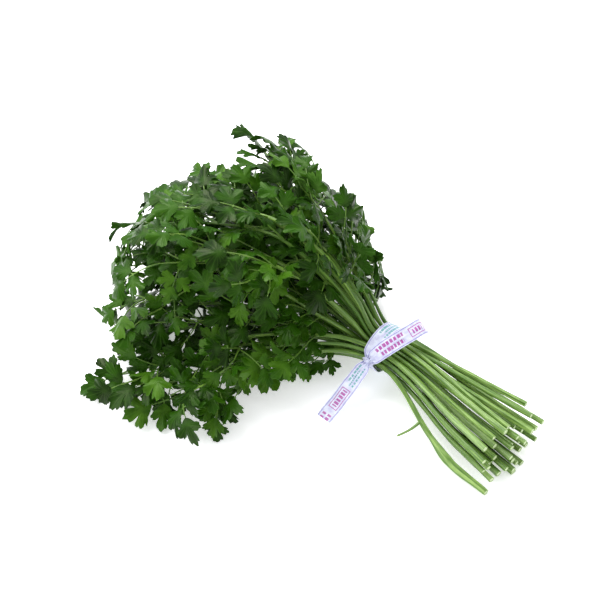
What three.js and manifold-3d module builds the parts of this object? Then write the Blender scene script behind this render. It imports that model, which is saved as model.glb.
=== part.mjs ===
// A bunch of flat-leaf parsley, cut and lying on its side, held by a flat twist tie.
// Units are millimetres. +Z is up and Z = 0 is the surface that the bunch lies on.
// +X points at the cut ends. The tie goes round the stems in the plane X = TIE_X.
// Each leafy stem is one mesh: a tapered stalk with sprays of three lobed leaflets.

import * as THREE from "three";
import { mergeVertices } from "three/addons/utils/BufferGeometryUtils.js";
import Module from "manifold-3d";

const wasm = await Module();
wasm.setup();
const { Manifold, Mesh: SolidMesh } = wasm;

// ---- Driving dimensions ----

// Where the tie's centre stands, from the middle of the bunch's footprint.
const TIE_X = 51.8;
const TIE_Y = 27.8;
const TIE_HEIGHT = 25;

// The stems, packed in rows inside the tie.
const STEM_PLACES = 47;
const BARE_STEMS = 3; // stems whose leaves have broken off
const BARE_SHARE = 0.45;
const PACK_PITCH = 4.4;
const PACK_ASPECT = 1.4; // how much wider than high the packed bundle is
const PACK_HALF_WIDTH = 17.6;
const PACK_HALF_HEIGHT = 11.5;
const STALK_SIDES = 5;
const CUT_RADIUS = 2.3;
const TIE_RADIUS = 1.7;
const TIP_RADIUS = 0.9;
const STEM_TRIES = 80;

// The cut ends, to the +X side of the tie.
const CUT_REACH = 123;
const CUT_RAGGED = 20;
const CUT_SWING = -22; // how far the cut ends lie to the -Y side of the tie's axis
const CUT_WIDENING = 1.95;
const CUT_LIFT = 1.45; // spacing of the rows there, against that in the tie
const CUT_BEND = 0.3; // where the stalks bend to lie flat, as a share from the cut end
const CUT_TANGLE = 1.5; // how far a cut end may stray from its even place
const TOP_TANGLE = 14; // and how far on top, where stalks lie across each other
const FLAT_DEPTH = 0.25; // how much of the lowest stalks is pressed flat

// The outermost stalk on the -Y side. It bends out and down to the surface, and swells
// there into the sheath at its foot.
const KINKED_FROM = -0.9; // as a share of the packed bundle's half width
const KINK_OUT = 5;
const SHEATH_RADIUS = 4;
const SHEATH_STARTS = 0.22; // from the bend, as a share of the way to the tie

// The fan of foliage, to the -X side. Each row is a direction, in degrees from -X towards
// -Y, with the leaves' reach from the tie, the share of it where the shortest stems end,
// the foliage's height at its peak and at its rim, and how the stems share that height: the
// lower the power, the more of them lie near the top.
const FAN = [
  { angle: -44, reach: 128, near: 0.55, peak: 80, rim: 46, lift: 1.2 },
  { angle: -30, reach: 210, near: 0.55, peak: 116, rim: 118, lift: 0.4 },
  { angle: -10, reach: 228, near: 0.42, peak: 100, rim: 124, lift: 0.42 },
  { angle: 10, reach: 230, near: 0.63, peak: 122, rim: 95, lift: 0.4 },
  { angle: 28, reach: 245, near: 0.55, peak: 108, rim: 24, lift: 0.4 },
  { angle: 37, reach: 240, near: 0.5, peak: 50, rim: 10, lift: 0.6 },
  { angle: 47, reach: 196, near: 0.45, peak: 52, rim: 10, lift: 0.5 },
  { angle: 66, reach: 184, near: 0.47, peak: 42, rim: 10, lift: 0.5 },
];
const FAN_MIDDLE = 4.5;
const FAN_HALF = 52;
const FAN_TURN = 0.95; // which stems are long: a share of the turn that shares lengths out
const GOLDEN_TURN = 0.618034;
const FAN_LENGTH = 220;
const FAN_BEND = 45; // how gently the stems turn into their directions
const FAN_STRAY = 3; // degrees
const LEAF_DEPTH = 10; // how far below the foliage's top its stalks end
const LEAF_REACH = 36; // how far a stem's leaves reach past its stalk
const SETTLED = 90; // how far out the stems have spread through the foliage's depth
const LOW_STALKS = 4.5;
const STALK_BENDS = [0, 18, 44, 84, 130, 180]; // distances from the tie's edge

// One spray: a stalk with two side leaflets and an end leaflet, cut from one thin blade.
const BLADE = 0.62;
const ROOT_DEPTH = 0.6;
const ROOT_HALF = 0.4;
const SPRAY_STALK = 0.65; // half the stalk's width
const SPRAY_FORK = 1.1; // and where the end leaflet leaves it
const SIDE_LEAFLETS_AT = 10;
const SIDE_LEAFLET_FOOT = 1.6; // how much of the stalk a side leaflet grows from
const END_LEAFLET_AT = 19.5;
const SIDE_LEAFLET = 19;
const END_LEAFLET = 22;
const SIDE_LEAFLET_ANGLE = 66;
const SPRAY_PLACES = [
  { at: 0.54, side: 1 },
  { at: 0.84, side: -1 },
  { at: 1, side: 0 },
];
const LEAF_PRESSED = 2; // how much of a blade's lowest tips the surface takes away
const CLEARANCE = 0.3;
const ROOT_VOLUME = 2; // the most that a spray's root may share with its stalk
const SPRAY_TRIES = 60;

// The twist tie, a paper ribbon with a wire laminated along its middle as a rib.
const RIBBON_WIDTH = 12.7;
const RIBBON = 0.6;
const RIB_HALF = 0.8;
const RIB = 0.35;
const BAND_HALF_WIDTH = 20; // the band's inside, round the packed stalks
const BAND_HALF_HEIGHT = 15.2;
const BAND_STEPS = 28;
const KNOT_ANGLE = 172; // degrees round the band, from +Y over the top
const KNOT_GAP = 6; // degrees between the band's ends, inside the knot
const KNOT_SIZE = new THREE.Vector3(5.2, 2.4, 3.8);

// The tie's two loose ends, from the knot outward and from the tie's centre: where the
// ribbon's middle runs, which way its printed face looks, and its width there.
const LOW_END = [
  { at: [0, -21, 2.5], face: [0, -0.6, 0.8], wide: 0.62 },
  { at: [-0.8, -28, -1.2], face: [0, -0.5, 0.87], wide: 0.9 },
  { at: [-2, -39, -7.2], face: [0, -0.48, 0.88], wide: 1 },
  { at: [-3.6, -54, -15.2], face: [0, -0.46, 0.89], wide: 1 },
  { at: [-5.2, -69, -21.6], face: [0, -0.36, 0.93], wide: 1 },
];
const HIGH_END = [
  { at: [0.5, -21, 3.5], face: [0.1, -0.8, 0.6], wide: 0.62 },
  { at: [5, -20.5, 10.5], face: [0.2, -0.8, 0.55], wide: 0.9 },
  { at: [10.5, -15, 18], face: [0.35, -0.66, 0.66], wide: 1 },
  { at: [16, -6, 23], face: [0.42, -0.55, 0.72], wide: 1 },
  { at: [20.5, 4, 25.5], face: [0.45, -0.4, 0.8], wide: 1 },
  { at: [22.5, 12, 25.5], face: [0.5, 0, 0.87], wide: 1 },
  { at: [22.5, 17.5, 22.5], face: [0.5, 0.55, 0.67], wide: 1 },
];

// A stray side stalk on the outermost stem's cut side.
const STRAY_AT = 0.62; // how far from the tie's edge to the bend
const STRAY_REACH = new THREE.Vector3(-7, -19, -2.5);
const STRAY_RADIUS = 1;

// ---- Small helpers ----

const mix = THREE.MathUtils.lerp;
const clamp = THREE.MathUtils.clamp;
const radians = THREE.MathUtils.degToRad;
const UP = new THREE.Vector3(0, 0, 1);
const TIE_OWNER = -1;
const TIE_CENTRE = new THREE.Vector3(TIE_X, TIE_Y, TIE_HEIGHT);

// A repeatable draw from 0 to 1 for a list of whole numbers.
function draw(...keys) {
  let h = 20261;
  for (const key of keys) {
    h = Math.imul(h ^ (key + 0x9e3779b9), 0x85ebca6b);
    h ^= h >>> 13;
    h = Math.imul(h, 0xc2b2ae35);
    h ^= h >>> 16;
  }
  return (h >>> 0) / 4294967296;
}

// A repeatable draw from -half to half.
const sway = (half, ...keys) => (2 * draw(...keys) - 1) * half;

// The fan's dimensions in a direction, interpolated between its rows.
function fanAt(angle) {
  const next = clamp(
    FAN.findIndex((row) => row.angle >= angle),
    1,
    FAN.length - 1,
  );
  const [a, b] = [FAN[next - 1], FAN[next]];
  const t = clamp((angle - a.angle) / (b.angle - a.angle), 0, 1);
  return {
    reach: mix(a.reach, b.reach, t),
    near: mix(a.near, b.near, t),
    peak: mix(a.peak, b.peak, t),
    rim: mix(a.rim, b.rim, t),
    lift: mix(a.lift, b.lift, t),
  };
}

// The foliage's height in a direction, at a share of its reach.
function domeHeight(fan, share) {
  const start = TIE_HEIGHT + PACK_HALF_HEIGHT + LEAF_DEPTH;
  if (share < 0.5) return mix(start, fan.peak, Math.sin(share * Math.PI));
  return mix(fan.peak, fan.rim, (2 * share - 1) ** 2);
}

// ---- Stems ----

// The stems' places in the tie's plane, in rows like stacked rods, nearest the middle first.
function packedPlaces() {
  const places = [];
  for (let row = -5; row <= 5; row++)
    for (let column = -7; column <= 7; column++) {
      const y = (column + 0.25 + (row % 2 ? 0.5 : 0)) * PACK_PITCH;
      const z = (row * PACK_PITCH * Math.sqrt(3)) / 2;
      places.push({ y, z, rank: Math.hypot(y / PACK_ASPECT, z) });
    }
  places.sort((a, b) => a.rank - b.rank);
  return places.slice(0, STEM_PLACES);
}

// Where a stem has got to at a distance beyond the tie's edge. Stems that start side by
// side turn and rise alike, so they spread without crossing.
function fanPoint(stem, out) {
  const { y, level, angle, fan } = stem;
  const turned = ((1 + FAN_BEND / FAN_LENGTH) * out) / (out + FAN_BEND);
  const heading = radians(angle) * turned;
  const settled = Math.min(out / SETTLED, 1);
  const low = mix(TIE_HEIGHT - PACK_HALF_HEIGHT, LOW_STALKS, settled);
  const top =
    domeHeight(fan, (out + LEAF_REACH * settled) / fan.reach) - LEAF_DEPTH;
  const high = Math.max(top, low + 12);
  return new THREE.Vector3(
    TIE_X - RIBBON_WIDTH / 2 - out * Math.cos(heading),
    TIE_Y + y - out * Math.sin(heading),
    mix(low, high, level ** mix(1, fan.lift, settled ** 2)),
  );
}

// One stem on a try. Later tries stray less from the stem's even place.
function makeStem(place, index, attempt) {
  const { y, z } = place;
  const stray = 1 - (0.7 * attempt) / STEM_TRIES;
  const across = y / PACK_HALF_WIDTH;
  const level = clamp((z / PACK_HALF_HEIGHT + 1) / 2, 0, 1);
  const angle =
    FAN_MIDDLE - across * FAN_HALF + sway(FAN_STRAY * stray, index, attempt, 1);
  const fan = fanAt(angle);
  const turn = (index * GOLDEN_TURN + FAN_TURN) % 1;
  const share = mix(mix(Math.max(fan.near, 0.7), fan.near, level), 1, turn);
  const stem = {
    index,
    y,
    level,
    angle,
    fan,
    length: share * fan.reach - LEAF_REACH,
    leafy: index >= BARE_STEMS,
  };
  if (!stem.leafy) stem.length *= BARE_SHARE;
  stem.bends = STALK_BENDS.filter((bend) => bend < stem.length - 12);
  stem.bends.push(stem.length);
  stem.line = stem.bends.map((bend) => fanPoint(stem, bend));

  const lowest = CUT_RADIUS * Math.cos(Math.PI / STALK_SIDES) - FLAT_DEPTH;
  const onTop = level > 0.75;
  const kinked = across < KINKED_FROM;
  const lift = kinked ? 0 : (z + PACK_HALF_HEIGHT) * CUT_LIFT;
  const evenZ = lowest + lift + (onTop ? CUT_RADIUS : 0);
  const tangle = (onTop ? TOP_TANGLE : CUT_TANGLE) * stray;
  const cutY = CUT_SWING + y * CUT_WIDENING + sway(tangle, index, attempt, 3);
  const cutZ = Math.max(evenZ + sway(1, index, attempt, 4), lowest);
  const bare = CUT_REACH - RIBBON_WIDTH / 2;
  const ragged = sway(CUT_RAGGED / 2, index, 2) / (bare * CUT_BEND);
  const tieEdge = new THREE.Vector3(
    TIE_X + RIBBON_WIDTH / 2,
    TIE_Y + y,
    TIE_HEIGHT + z,
  );
  const evenCut = new THREE.Vector3(TIE_X + CUT_REACH, TIE_Y + cutY, cutZ);
  const rest = evenCut.clone().lerp(tieEdge, CUT_BEND);
  rest.z = mix(cutZ, tieEdge.z, 0.4 * CUT_BEND);
  if (kinked) rest.y -= KINK_OUT;
  const cut = rest.clone().lerp(evenCut, 1 + ragged);
  const restRadius = mix(CUT_RADIUS, TIE_RADIUS, CUT_BEND);
  stem.foot = [
    { at: cut, radius: CUT_RADIUS },
    { at: rest, radius: kinked ? SHEATH_RADIUS : restRadius },
    { at: tieEdge, radius: TIE_RADIUS },
  ];
  if (kinked) {
    const sheathStart = rest.clone().lerp(tieEdge, SHEATH_STARTS);
    stem.foot.splice(2, 0, { at: sheathStart, radius: restRadius });
  }
  return stem;
}

// The stalk's centreline and radii, from the cut end to the tip.
function stalkStations(stem) {
  const { foot, bends, line, length } = stem;
  const rest = line.map((at, k) => ({
    at,
    radius: mix(TIE_RADIUS, TIP_RADIUS, bends[k] / length),
  }));
  return [...foot, ...rest];
}

// A point on the stalk between its bends, and the stalk's direction there.
function stalkAt({ bends, line }, out) {
  const next = Math.max(
    bends.findIndex((bend) => bend >= out),
    1,
  );
  const [from, to] = [line[next - 1], line[next]];
  const t = (out - bends[next - 1]) / (bends[next] - bends[next - 1]);
  return {
    point: from.clone().lerp(to, t),
    direction: to.clone().sub(from).normalize(),
  };
}

// A closed tube through the stations: a cylinder bent along them.
function bentTube(stations, sides) {
  const last = stations.length - 1;
  const tube = new THREE.CylinderGeometry(1, 1, last, sides, last);
  const position = tube.getAttribute("position");
  for (let i = 0; i < position.count; i++) {
    const k = Math.round(position.getY(i) + last / 2);
    const before = stations[Math.max(k - 1, 0)].at;
    const after = stations[Math.min(k + 1, last)].at;
    const along = after.clone().sub(before).normalize();
    const side = along.clone().cross(UP).normalize();
    const top = side.clone().cross(along);
    const { at, radius } = stations[k];
    const place = at
      .clone()
      .addScaledVector(side, position.getX(i) * radius)
      .addScaledVector(top, position.getZ(i) * radius);
    position.setXYZ(i, place.x, place.y, place.z);
  }
  return tube;
}

// ---- Sprays of leaflets ----

// One leaflet's outline, a fan cut into three lobes, from its base at the origin along +X.
function leafletOutline(length) {
  return [
    [0.48, -0.52],
    [0.6, -0.2],
    [0.97, -0.15],
    [0.97, 0.15],
    [0.6, 0.2],
    [0.48, 0.52],
  ].map(([x, y]) => new THREE.Vector2(x * length, y * length));
}

// Moves an outline's points to a base, turned by an angle.
function placed(points, x, y, angle) {
  return points.map((p) =>
    p
      .clone()
      .rotateAround(new THREE.Vector2(), radians(angle))
      .add(new THREE.Vector2(x, y)),
  );
}

// A spray's flat outline, from its sunk root along +X, at a scale.
function sprayOutline(scale) {
  const corner = (x, y) => new THREE.Vector2(x, y);
  const side = (sign) =>
    placed(
      leafletOutline(SIDE_LEAFLET),
      SIDE_LEAFLETS_AT,
      sign * SPRAY_STALK,
      sign * SIDE_LEAFLET_ANGLE,
    );
  return [
    corner(-ROOT_DEPTH, ROOT_HALF),
    corner(-ROOT_DEPTH, -ROOT_HALF),
    corner(SIDE_LEAFLETS_AT, -SPRAY_STALK),
    ...side(-1),
    corner(SIDE_LEAFLETS_AT + SIDE_LEAFLET_FOOT, -SPRAY_STALK),
    corner(END_LEAFLET_AT, -SPRAY_FORK),
    ...placed(leafletOutline(END_LEAFLET), END_LEAFLET_AT, 0, 0),
    corner(END_LEAFLET_AT, SPRAY_FORK),
    corner(SIDE_LEAFLETS_AT + SIDE_LEAFLET_FOOT, SPRAY_STALK),
    ...side(1),
    corner(SIDE_LEAFLETS_AT, SPRAY_STALK),
  ].map((p) => p.multiplyScalar(scale));
}

// The spray's blade: its outline given a thickness, then arched along its length and across.
function sprayGeometry(spray) {
  const { origin, along, across, normal, scale, droop, cup } = spray;
  const length = (END_LEAFLET_AT + END_LEAFLET) * scale;
  const shape = new THREE.Shape(sprayOutline(scale));
  const blade = new THREE.ExtrudeGeometry(shape, {
    depth: BLADE,
    bevelEnabled: false,
  });
  const position = blade.getAttribute("position");
  for (let i = 0; i < position.count; i++) {
    const [u, v] = [position.getX(i), position.getY(i)];
    const turn = (droop * u) / length;
    const bow = length / droop;
    const lift = position.getZ(i) - BLADE / 2 - (cup * v * v) / length;
    const place = origin
      .clone()
      .addScaledVector(along, Math.sin(turn) * (bow + lift))
      .addScaledVector(normal, Math.cos(turn) * (bow + lift) - bow)
      .addScaledVector(across, v);
    position.setXYZ(i, place.x, place.y, place.z);
  }
  return blade;
}

// Where a stem's spray stands on a try. Later tries turn it further from its natural pose.
function sprayOn(stem, placeIndex, attempt) {
  const { at, side } = SPRAY_PLACES[placeIndex];
  const keys = [stem.index, placeIndex, attempt];
  const loose = Math.min(1, 0.25 + attempt * 0.03);
  const { point: origin, direction: tangent } = stalkAt(
    stem,
    at * stem.length,
  );
  const centre = new THREE.Vector3(TIE_X - 110, TIE_Y - 18, -45);
  const normal = origin
    .clone()
    .sub(centre)
    .projectOnPlane(tangent)
    .normalize();
  normal.applyAxisAngle(tangent, sway(radians(75) * loose, ...keys, 3));
  const spread =
    radians(50) * side +
    sway(radians(30) * loose, ...keys, 4) * (side ? 1 : 1.2);
  const along = tangent.clone().applyAxisAngle(normal, spread);
  const pitch = sway(radians(30) * loose, ...keys, 5) + radians(8);
  const across = normal.clone().cross(along);
  along.applyAxisAngle(across, -pitch);
  normal.applyAxisAngle(across, -pitch);
  const roll = sway(radians(32), ...keys, 6);
  normal.applyAxisAngle(along, roll);
  across.applyAxisAngle(along, roll);
  return {
    origin,
    along,
    across,
    normal,
    scale: mix(0.86, 1.12, draw(...keys, 7)) * (side ? 0.94 : 1.06),
    droop: radians(mix(20, 75, draw(...keys, 8))),
    cup: mix(-0.25, 0.5, draw(...keys, 9)),
  };
}

// ---- The twist tie ----

// A ribbon through the stations, its rib on the side that its face looks to.
function bentRibbon(stations) {
  const half = RIBBON_WIDTH / 2;
  const section = new THREE.Shape(
    [
      [-half, 0],
      [half, 0],
      [half, RIBBON],
      [RIB_HALF, RIBBON],
      [0, RIBBON + RIB],
      [-RIB_HALF, RIBBON],
      [-half, RIBBON],
    ].map(([x, y]) => new THREE.Vector2(x, y)),
  );
  const last = stations.length - 1;
  const ribbon = new THREE.ExtrudeGeometry(section, {
    depth: last,
    steps: last,
    bevelEnabled: false,
  });
  const position = ribbon.getAttribute("position");
  for (let i = 0; i < position.count; i++) {
    const k = Math.round(position.getZ(i));
    const { at, face, wide } = stations[k];
    const before = stations[Math.max(k - 1, 0)].at;
    const after = stations[Math.min(k + 1, last)].at;
    const along = after.clone().sub(before).normalize();
    const normal = face.clone().projectOnPlane(along).normalize();
    const across = normal.clone().cross(along);
    const place = at
      .clone()
      .addScaledVector(across, position.getX(i) * wide)
      .addScaledVector(normal, position.getY(i));
    position.setXYZ(i, place.x, place.y, place.z);
  }
  return ribbon;
}

// A loose end's stations, in the bunch's frame.
const looseEnd = (rows) =>
  rows.map(({ at, face, wide }) => ({
    at: new THREE.Vector3(...at).add(TIE_CENTRE),
    face: new THREE.Vector3(...face),
    wide,
  }));

// The band's stations round the stalks, from one side of the knot to the other.
function bandStations() {
  const start = radians(KNOT_ANGLE + KNOT_GAP / 2);
  const sweep = radians(360 - KNOT_GAP);
  return Array.from({ length: BAND_STEPS + 1 }, (_, k) => {
    const angle = start + (sweep * k) / BAND_STEPS;
    const [y, z] = [Math.cos(angle), Math.sin(angle)];
    const at = new THREE.Vector3(0, BAND_HALF_WIDTH * y, BAND_HALF_HEIGHT * z);
    return {
      at: at.add(TIE_CENTRE),
      face: new THREE.Vector3(0, y / BAND_HALF_WIDTH, z / BAND_HALF_HEIGHT),
      wide: 1,
    };
  });
}

function knotGeometry() {
  const angle = radians(KNOT_ANGLE);
  const knot = new THREE.SphereGeometry(1, 10, 6);
  knot.scale(KNOT_SIZE.x, KNOT_SIZE.y, KNOT_SIZE.z);
  knot.translate(
    0,
    (BAND_HALF_WIDTH + 0.8) * Math.cos(angle),
    (BAND_HALF_HEIGHT + 0.8) * Math.sin(angle),
  );
  knot.translate(TIE_CENTRE.x, TIE_CENTRE.y, TIE_CENTRE.z);
  return knot;
}

// ---- Solids ----

// A closed geometry as a solid that can be joined and cut.
function solidOf(geometry) {
  const bare = geometry.clone();
  bare.deleteAttribute("normal");
  bare.deleteAttribute("uv");
  const merged = mergeVertices(bare, 1e-4);
  return new Manifold(
    new SolidMesh({
      numProp: 3,
      vertProperties: new Float32Array(merged.getAttribute("position").array),
      triVerts: new Uint32Array(merged.index.array),
    }),
  );
}

// A solid as a mesh, with flat faces.
function meshOf(name, solid, material) {
  const { vertProperties, triVerts } = solid.getMesh();
  const indexed = new THREE.BufferGeometry();
  indexed.setAttribute(
    "position",
    new THREE.BufferAttribute(new Float32Array(vertProperties), 3),
  );
  indexed.setIndex(new THREE.BufferAttribute(new Uint32Array(triVerts), 1));
  const geometry = indexed.toNonIndexed();
  geometry.computeVertexNormals();
  const mesh = new THREE.Mesh(geometry, material);
  mesh.name = name;
  return mesh;
}

const pieceOf = (solid, owner, isStalk) => ({
  solid,
  owner,
  isStalk,
  box: solid.boundingBox(),
});

// True if a piece stays above the surface and clear of the others. It may only root in
// its own stalk.
function isClear(piece, others) {
  const { solid, owner, box } = piece;
  if (box.min[2] < -LEAF_PRESSED) return false;
  return others.every((other) => {
    for (let k = 0; k < 3; k++)
      if (
        other.box.min[k] > box.max[k] + CLEARANCE ||
        other.box.max[k] < box.min[k] - CLEARANCE
      )
        return true;
    if (other.owner === owner && other.isStalk)
      return solid.intersect(other.solid).volume() < ROOT_VOLUME;
    return solid.minGap(other.solid, CLEARANCE) >= CLEARANCE * 0.99;
  });
}

// ---- The bunch ----

const tie = pieceOf(
  Manifold.union(
    [
      bentRibbon(bandStations()),
      bentRibbon(looseEnd(LOW_END)),
      bentRibbon(looseEnd(HIGH_END)),
      knotGeometry(),
    ].map(solidOf),
  ),
  TIE_OWNER,
  false,
);
const pieces = [tie];

// Places each stem on its first clear try. A place where none is clear stays empty.
const stems = [];
packedPlaces().forEach((place, index) => {
  for (let attempt = 0; attempt < STEM_TRIES; attempt++) {
    const stem = makeStem(place, index, attempt);
    const tube = bentTube(stalkStations(stem), STALK_SIDES);
    const piece = pieceOf(solidOf(tube), index, true);
    if (isClear(piece, pieces)) {
      pieces.push(piece);
      stems.push(stem);
      return;
    }
  }
});

// The stray side stalk grows from the stem that bends furthest to -Y beside the cut ends.
const outermost = stems.reduce((a, b) => (b.foot[1].at.y < a.foot[1].at.y ? b : a));
const strayRoot = outermost.foot
  .at(-1)
  .at.clone()
  .lerp(outermost.foot[1].at, STRAY_AT);
const strayStations = [0, 1].map((t) => ({
  at: strayRoot.clone().addScaledVector(STRAY_REACH, t),
  radius: STRAY_RADIUS,
}));
const strayTube = solidOf(bentTube(strayStations, STALK_SIDES));
pieces.push(pieceOf(strayTube, outermost.index, true));

// Adds each stem's sprays, the end ones first, each on its first clear try.
for (const placeIndex of [2, 1, 0])
  for (const stem of stems.filter((s) => s.leafy))
    for (let attempt = 0; attempt < SPRAY_TRIES; attempt++) {
      const spray = sprayGeometry(sprayOn(stem, placeIndex, attempt));
      const piece = pieceOf(solidOf(spray), stem.index, false);
      if (isClear(piece, pieces)) {
        pieces.push(piece);
        break;
      }
    }

const leafGreen = new THREE.MeshStandardMaterial({
  color: 0x46702a,
  roughness: 0.55,
  metalness: 0,
});
const stemGreen = new THREE.MeshStandardMaterial({
  color: 0x76945a,
  roughness: 0.5,
  metalness: 0,
});
const tiePaper = new THREE.MeshStandardMaterial({
  color: 0xd8d8ea,
  roughness: 0.4,
  metalness: 0,
});

const bunch = new THREE.Group();
for (const stem of stems) {
  const own = pieces.filter((p) => p.owner === stem.index).map((p) => p.solid);
  const solid = Manifold.union(own).trimByPlane([0, 0, 1], 0);
  const name = `stem_${String(stem.index + 1).padStart(2, "0")}`;
  bunch.add(meshOf(name, solid, stem.leafy ? leafGreen : stemGreen));
}
bunch.add(meshOf("tie_ribbon", tie.solid, tiePaper));

export default bunch;
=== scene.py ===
"""Looks of a bunch of flat-leaf parsley that lies cut in a flat paper twist tie.

Each stem's solid is replaced by a finer stalk and by toothed, veined leaves that grow where
the solid's leaves do. More sprays and side shoots fill the fan between them. Lengths are in
millimetres in the CAD's own frame until a mesh is made, and angles are in degrees where a
name says so.
"""

import math
from types import SimpleNamespace

import bpy
import numpy as np
from mathutils import Matrix, Vector
from mathutils.bvhtree import BVHTree
from mathutils.kdtree import KDTree


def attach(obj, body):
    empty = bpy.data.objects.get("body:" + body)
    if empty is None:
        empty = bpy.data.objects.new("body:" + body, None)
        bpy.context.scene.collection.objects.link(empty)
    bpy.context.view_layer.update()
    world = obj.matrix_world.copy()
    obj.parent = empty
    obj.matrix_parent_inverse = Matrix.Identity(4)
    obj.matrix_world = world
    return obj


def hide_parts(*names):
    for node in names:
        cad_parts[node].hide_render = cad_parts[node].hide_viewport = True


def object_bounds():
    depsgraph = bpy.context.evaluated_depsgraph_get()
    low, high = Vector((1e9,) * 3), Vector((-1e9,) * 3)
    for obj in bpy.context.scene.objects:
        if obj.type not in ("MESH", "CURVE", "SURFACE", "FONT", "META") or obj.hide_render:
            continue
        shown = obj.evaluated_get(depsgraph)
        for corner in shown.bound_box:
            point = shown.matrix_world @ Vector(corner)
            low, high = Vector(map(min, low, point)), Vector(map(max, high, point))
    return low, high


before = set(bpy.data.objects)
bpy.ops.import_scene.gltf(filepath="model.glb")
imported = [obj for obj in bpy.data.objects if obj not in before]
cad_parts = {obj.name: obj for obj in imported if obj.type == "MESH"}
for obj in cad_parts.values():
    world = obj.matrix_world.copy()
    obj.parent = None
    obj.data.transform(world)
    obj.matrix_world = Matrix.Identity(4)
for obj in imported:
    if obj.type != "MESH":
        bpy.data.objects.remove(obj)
cad_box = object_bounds()

METRES = 0.001
UP = np.array([0.0, 0.0, 1.0])

# ---- The CAD's driving dimensions, so that the fine pieces keep the solids' form ----

TIE = np.array([51.8, 27.8, 25.0])
STEM_PLACES = 47
BARE_STEMS = 3
BARE_SHARE = 0.45
PACK_PITCH = 4.4
PACK_ASPECT = 1.4
PACK_HALF_WIDTH = 17.6
PACK_HALF_HEIGHT = 11.5
STALK_SIDES = 5
CUT_RADIUS = 2.3
TIE_RADIUS = 1.7
TIP_RADIUS = 0.9
STEM_TRIES = 80
SETTLING = 0.7  # how much a stem's sway is damped by its last try
LOW_SHARE = 0.7  # the shortest share of the reach for the lowest stems
LAST_BEND = 12
TOP_LEVEL = 0.75

CUT_REACH = 123.0
CUT_RAGGED = 20.0
CUT_SWING = -22.0
CUT_WIDENING = 1.95
CUT_LIFT = 1.45
CUT_BEND = 0.3
REST_RISE = 0.4
CUT_TANGLE = 1.5
TOP_TANGLE = 14.0
FLAT_DEPTH = 0.25
KINKED_FROM = -0.9
KINK_OUT = 5.0
SHEATH_RADIUS = 4.0
SHEATH_STARTS = 0.22

# Rows of the fan: direction, reach, shortest share, peak, rim and lift.
FAN = (
    (-44, 128, 0.55, 80, 46, 1.2),
    (-30, 210, 0.55, 116, 118, 0.4),
    (-10, 228, 0.42, 100, 124, 0.42),
    (10, 230, 0.63, 122, 95, 0.4),
    (28, 245, 0.55, 108, 24, 0.4),
    (37, 240, 0.5, 50, 10, 0.6),
    (47, 196, 0.45, 52, 10, 0.5),
    (66, 184, 0.47, 42, 10, 0.5),
)
FAN_MIDDLE = 4.5
FAN_HALF = 52.0
FAN_TURN = 0.95
GOLDEN_TURN = 0.618034
FAN_LENGTH = 220.0
FAN_BEND = 45.0
FAN_STRAY = 3.0
LEAF_DEPTH = 10.0
LEAF_REACH = 36.0
SETTLED = 90.0
LOW_STALKS = 4.5
STALK_BENDS = (0, 18, 44, 84, 130, 180)

BLADE = 0.62
SIDE_LEAFLETS_AT = 10.0
END_LEAFLET_AT = 19.5
SIDE_LEAFLET = 19.0
END_LEAFLET = 22.0
SIDE_LEAFLET_ANGLE = 66.0
SPRAY_STALK = 0.65
SPRAY_PLACES = ((0.54, 1), (0.84, -1), (1.0, 0))
SPRAY_TRIES = 60
FAN_CENTRE = np.array([TIE[0] - 110, TIE[1] - 18, -45.0])
SPRAY_ROLL = 75.0  # degrees, as the next four
SPRAY_SPREAD = 50.0
SPRAY_SWAY = 30.0
SPRAY_PITCH = 8.0
BLADE_ROLL = 32.0
SPRAY_SCALE = (0.86, 1.12)
SPRAY_DROOP = (20, 75)
SPRAY_CUP = (-0.25, 0.5)

RIBBON_WIDTH = 12.7
BAND_HALF_WIDTH = 20.0
BAND_HALF_HEIGHT = 15.2
KNOT_ANGLE = 172.0
KNOT_GAP = 6.0
KNOT_SIZE = (5.2, 2.4, 3.8)
LOW_END = (
    ((0, -21, 2.5), (0, -0.6, 0.8), 0.62),
    ((-0.8, -28, -1.2), (0, -0.5, 0.87), 0.9),
    ((-2, -39, -7.2), (0, -0.48, 0.88), 1),
    ((-3.6, -54, -15.2), (0, -0.46, 0.89), 1),
    ((-5.2, -69, -21.6), (0, -0.36, 0.93), 1),
)
HIGH_END = (
    ((0.5, -21, 3.5), (0.1, -0.8, 0.6), 0.62),
    ((5, -20.5, 10.5), (0.2, -0.8, 0.55), 0.9),
    ((10.5, -15, 18), (0.35, -0.66, 0.66), 1),
    ((16, -6, 23), (0.42, -0.55, 0.72), 1),
    ((20.5, 4, 25.5), (0.45, -0.4, 0.8), 1),
    ((22.5, 12, 25.5), (0.5, 0, 0.87), 1),
    ((22.5, 17.5, 22.5), (0.5, 0.55, 0.67), 1),
)
STRAY_AT = 0.62
STRAY_REACH = np.array([-7.0, -19.0, -2.5])
STRAY_RADIUS = 1.0

# ---- Dimensions of the fine pieces ----

MATCHED = 0.03  # a solid's corner is found within this
SEEN_ABOVE = 0.05  # the CAD may have cut away the corners lower than this
MOST = 0.7  # share of the corners that has to be found
FLOOR_CLEARANCE = 0.25
ON_FLOOR = 0.02  # above that clearance, where a leaf still counts as lying on the floor

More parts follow.
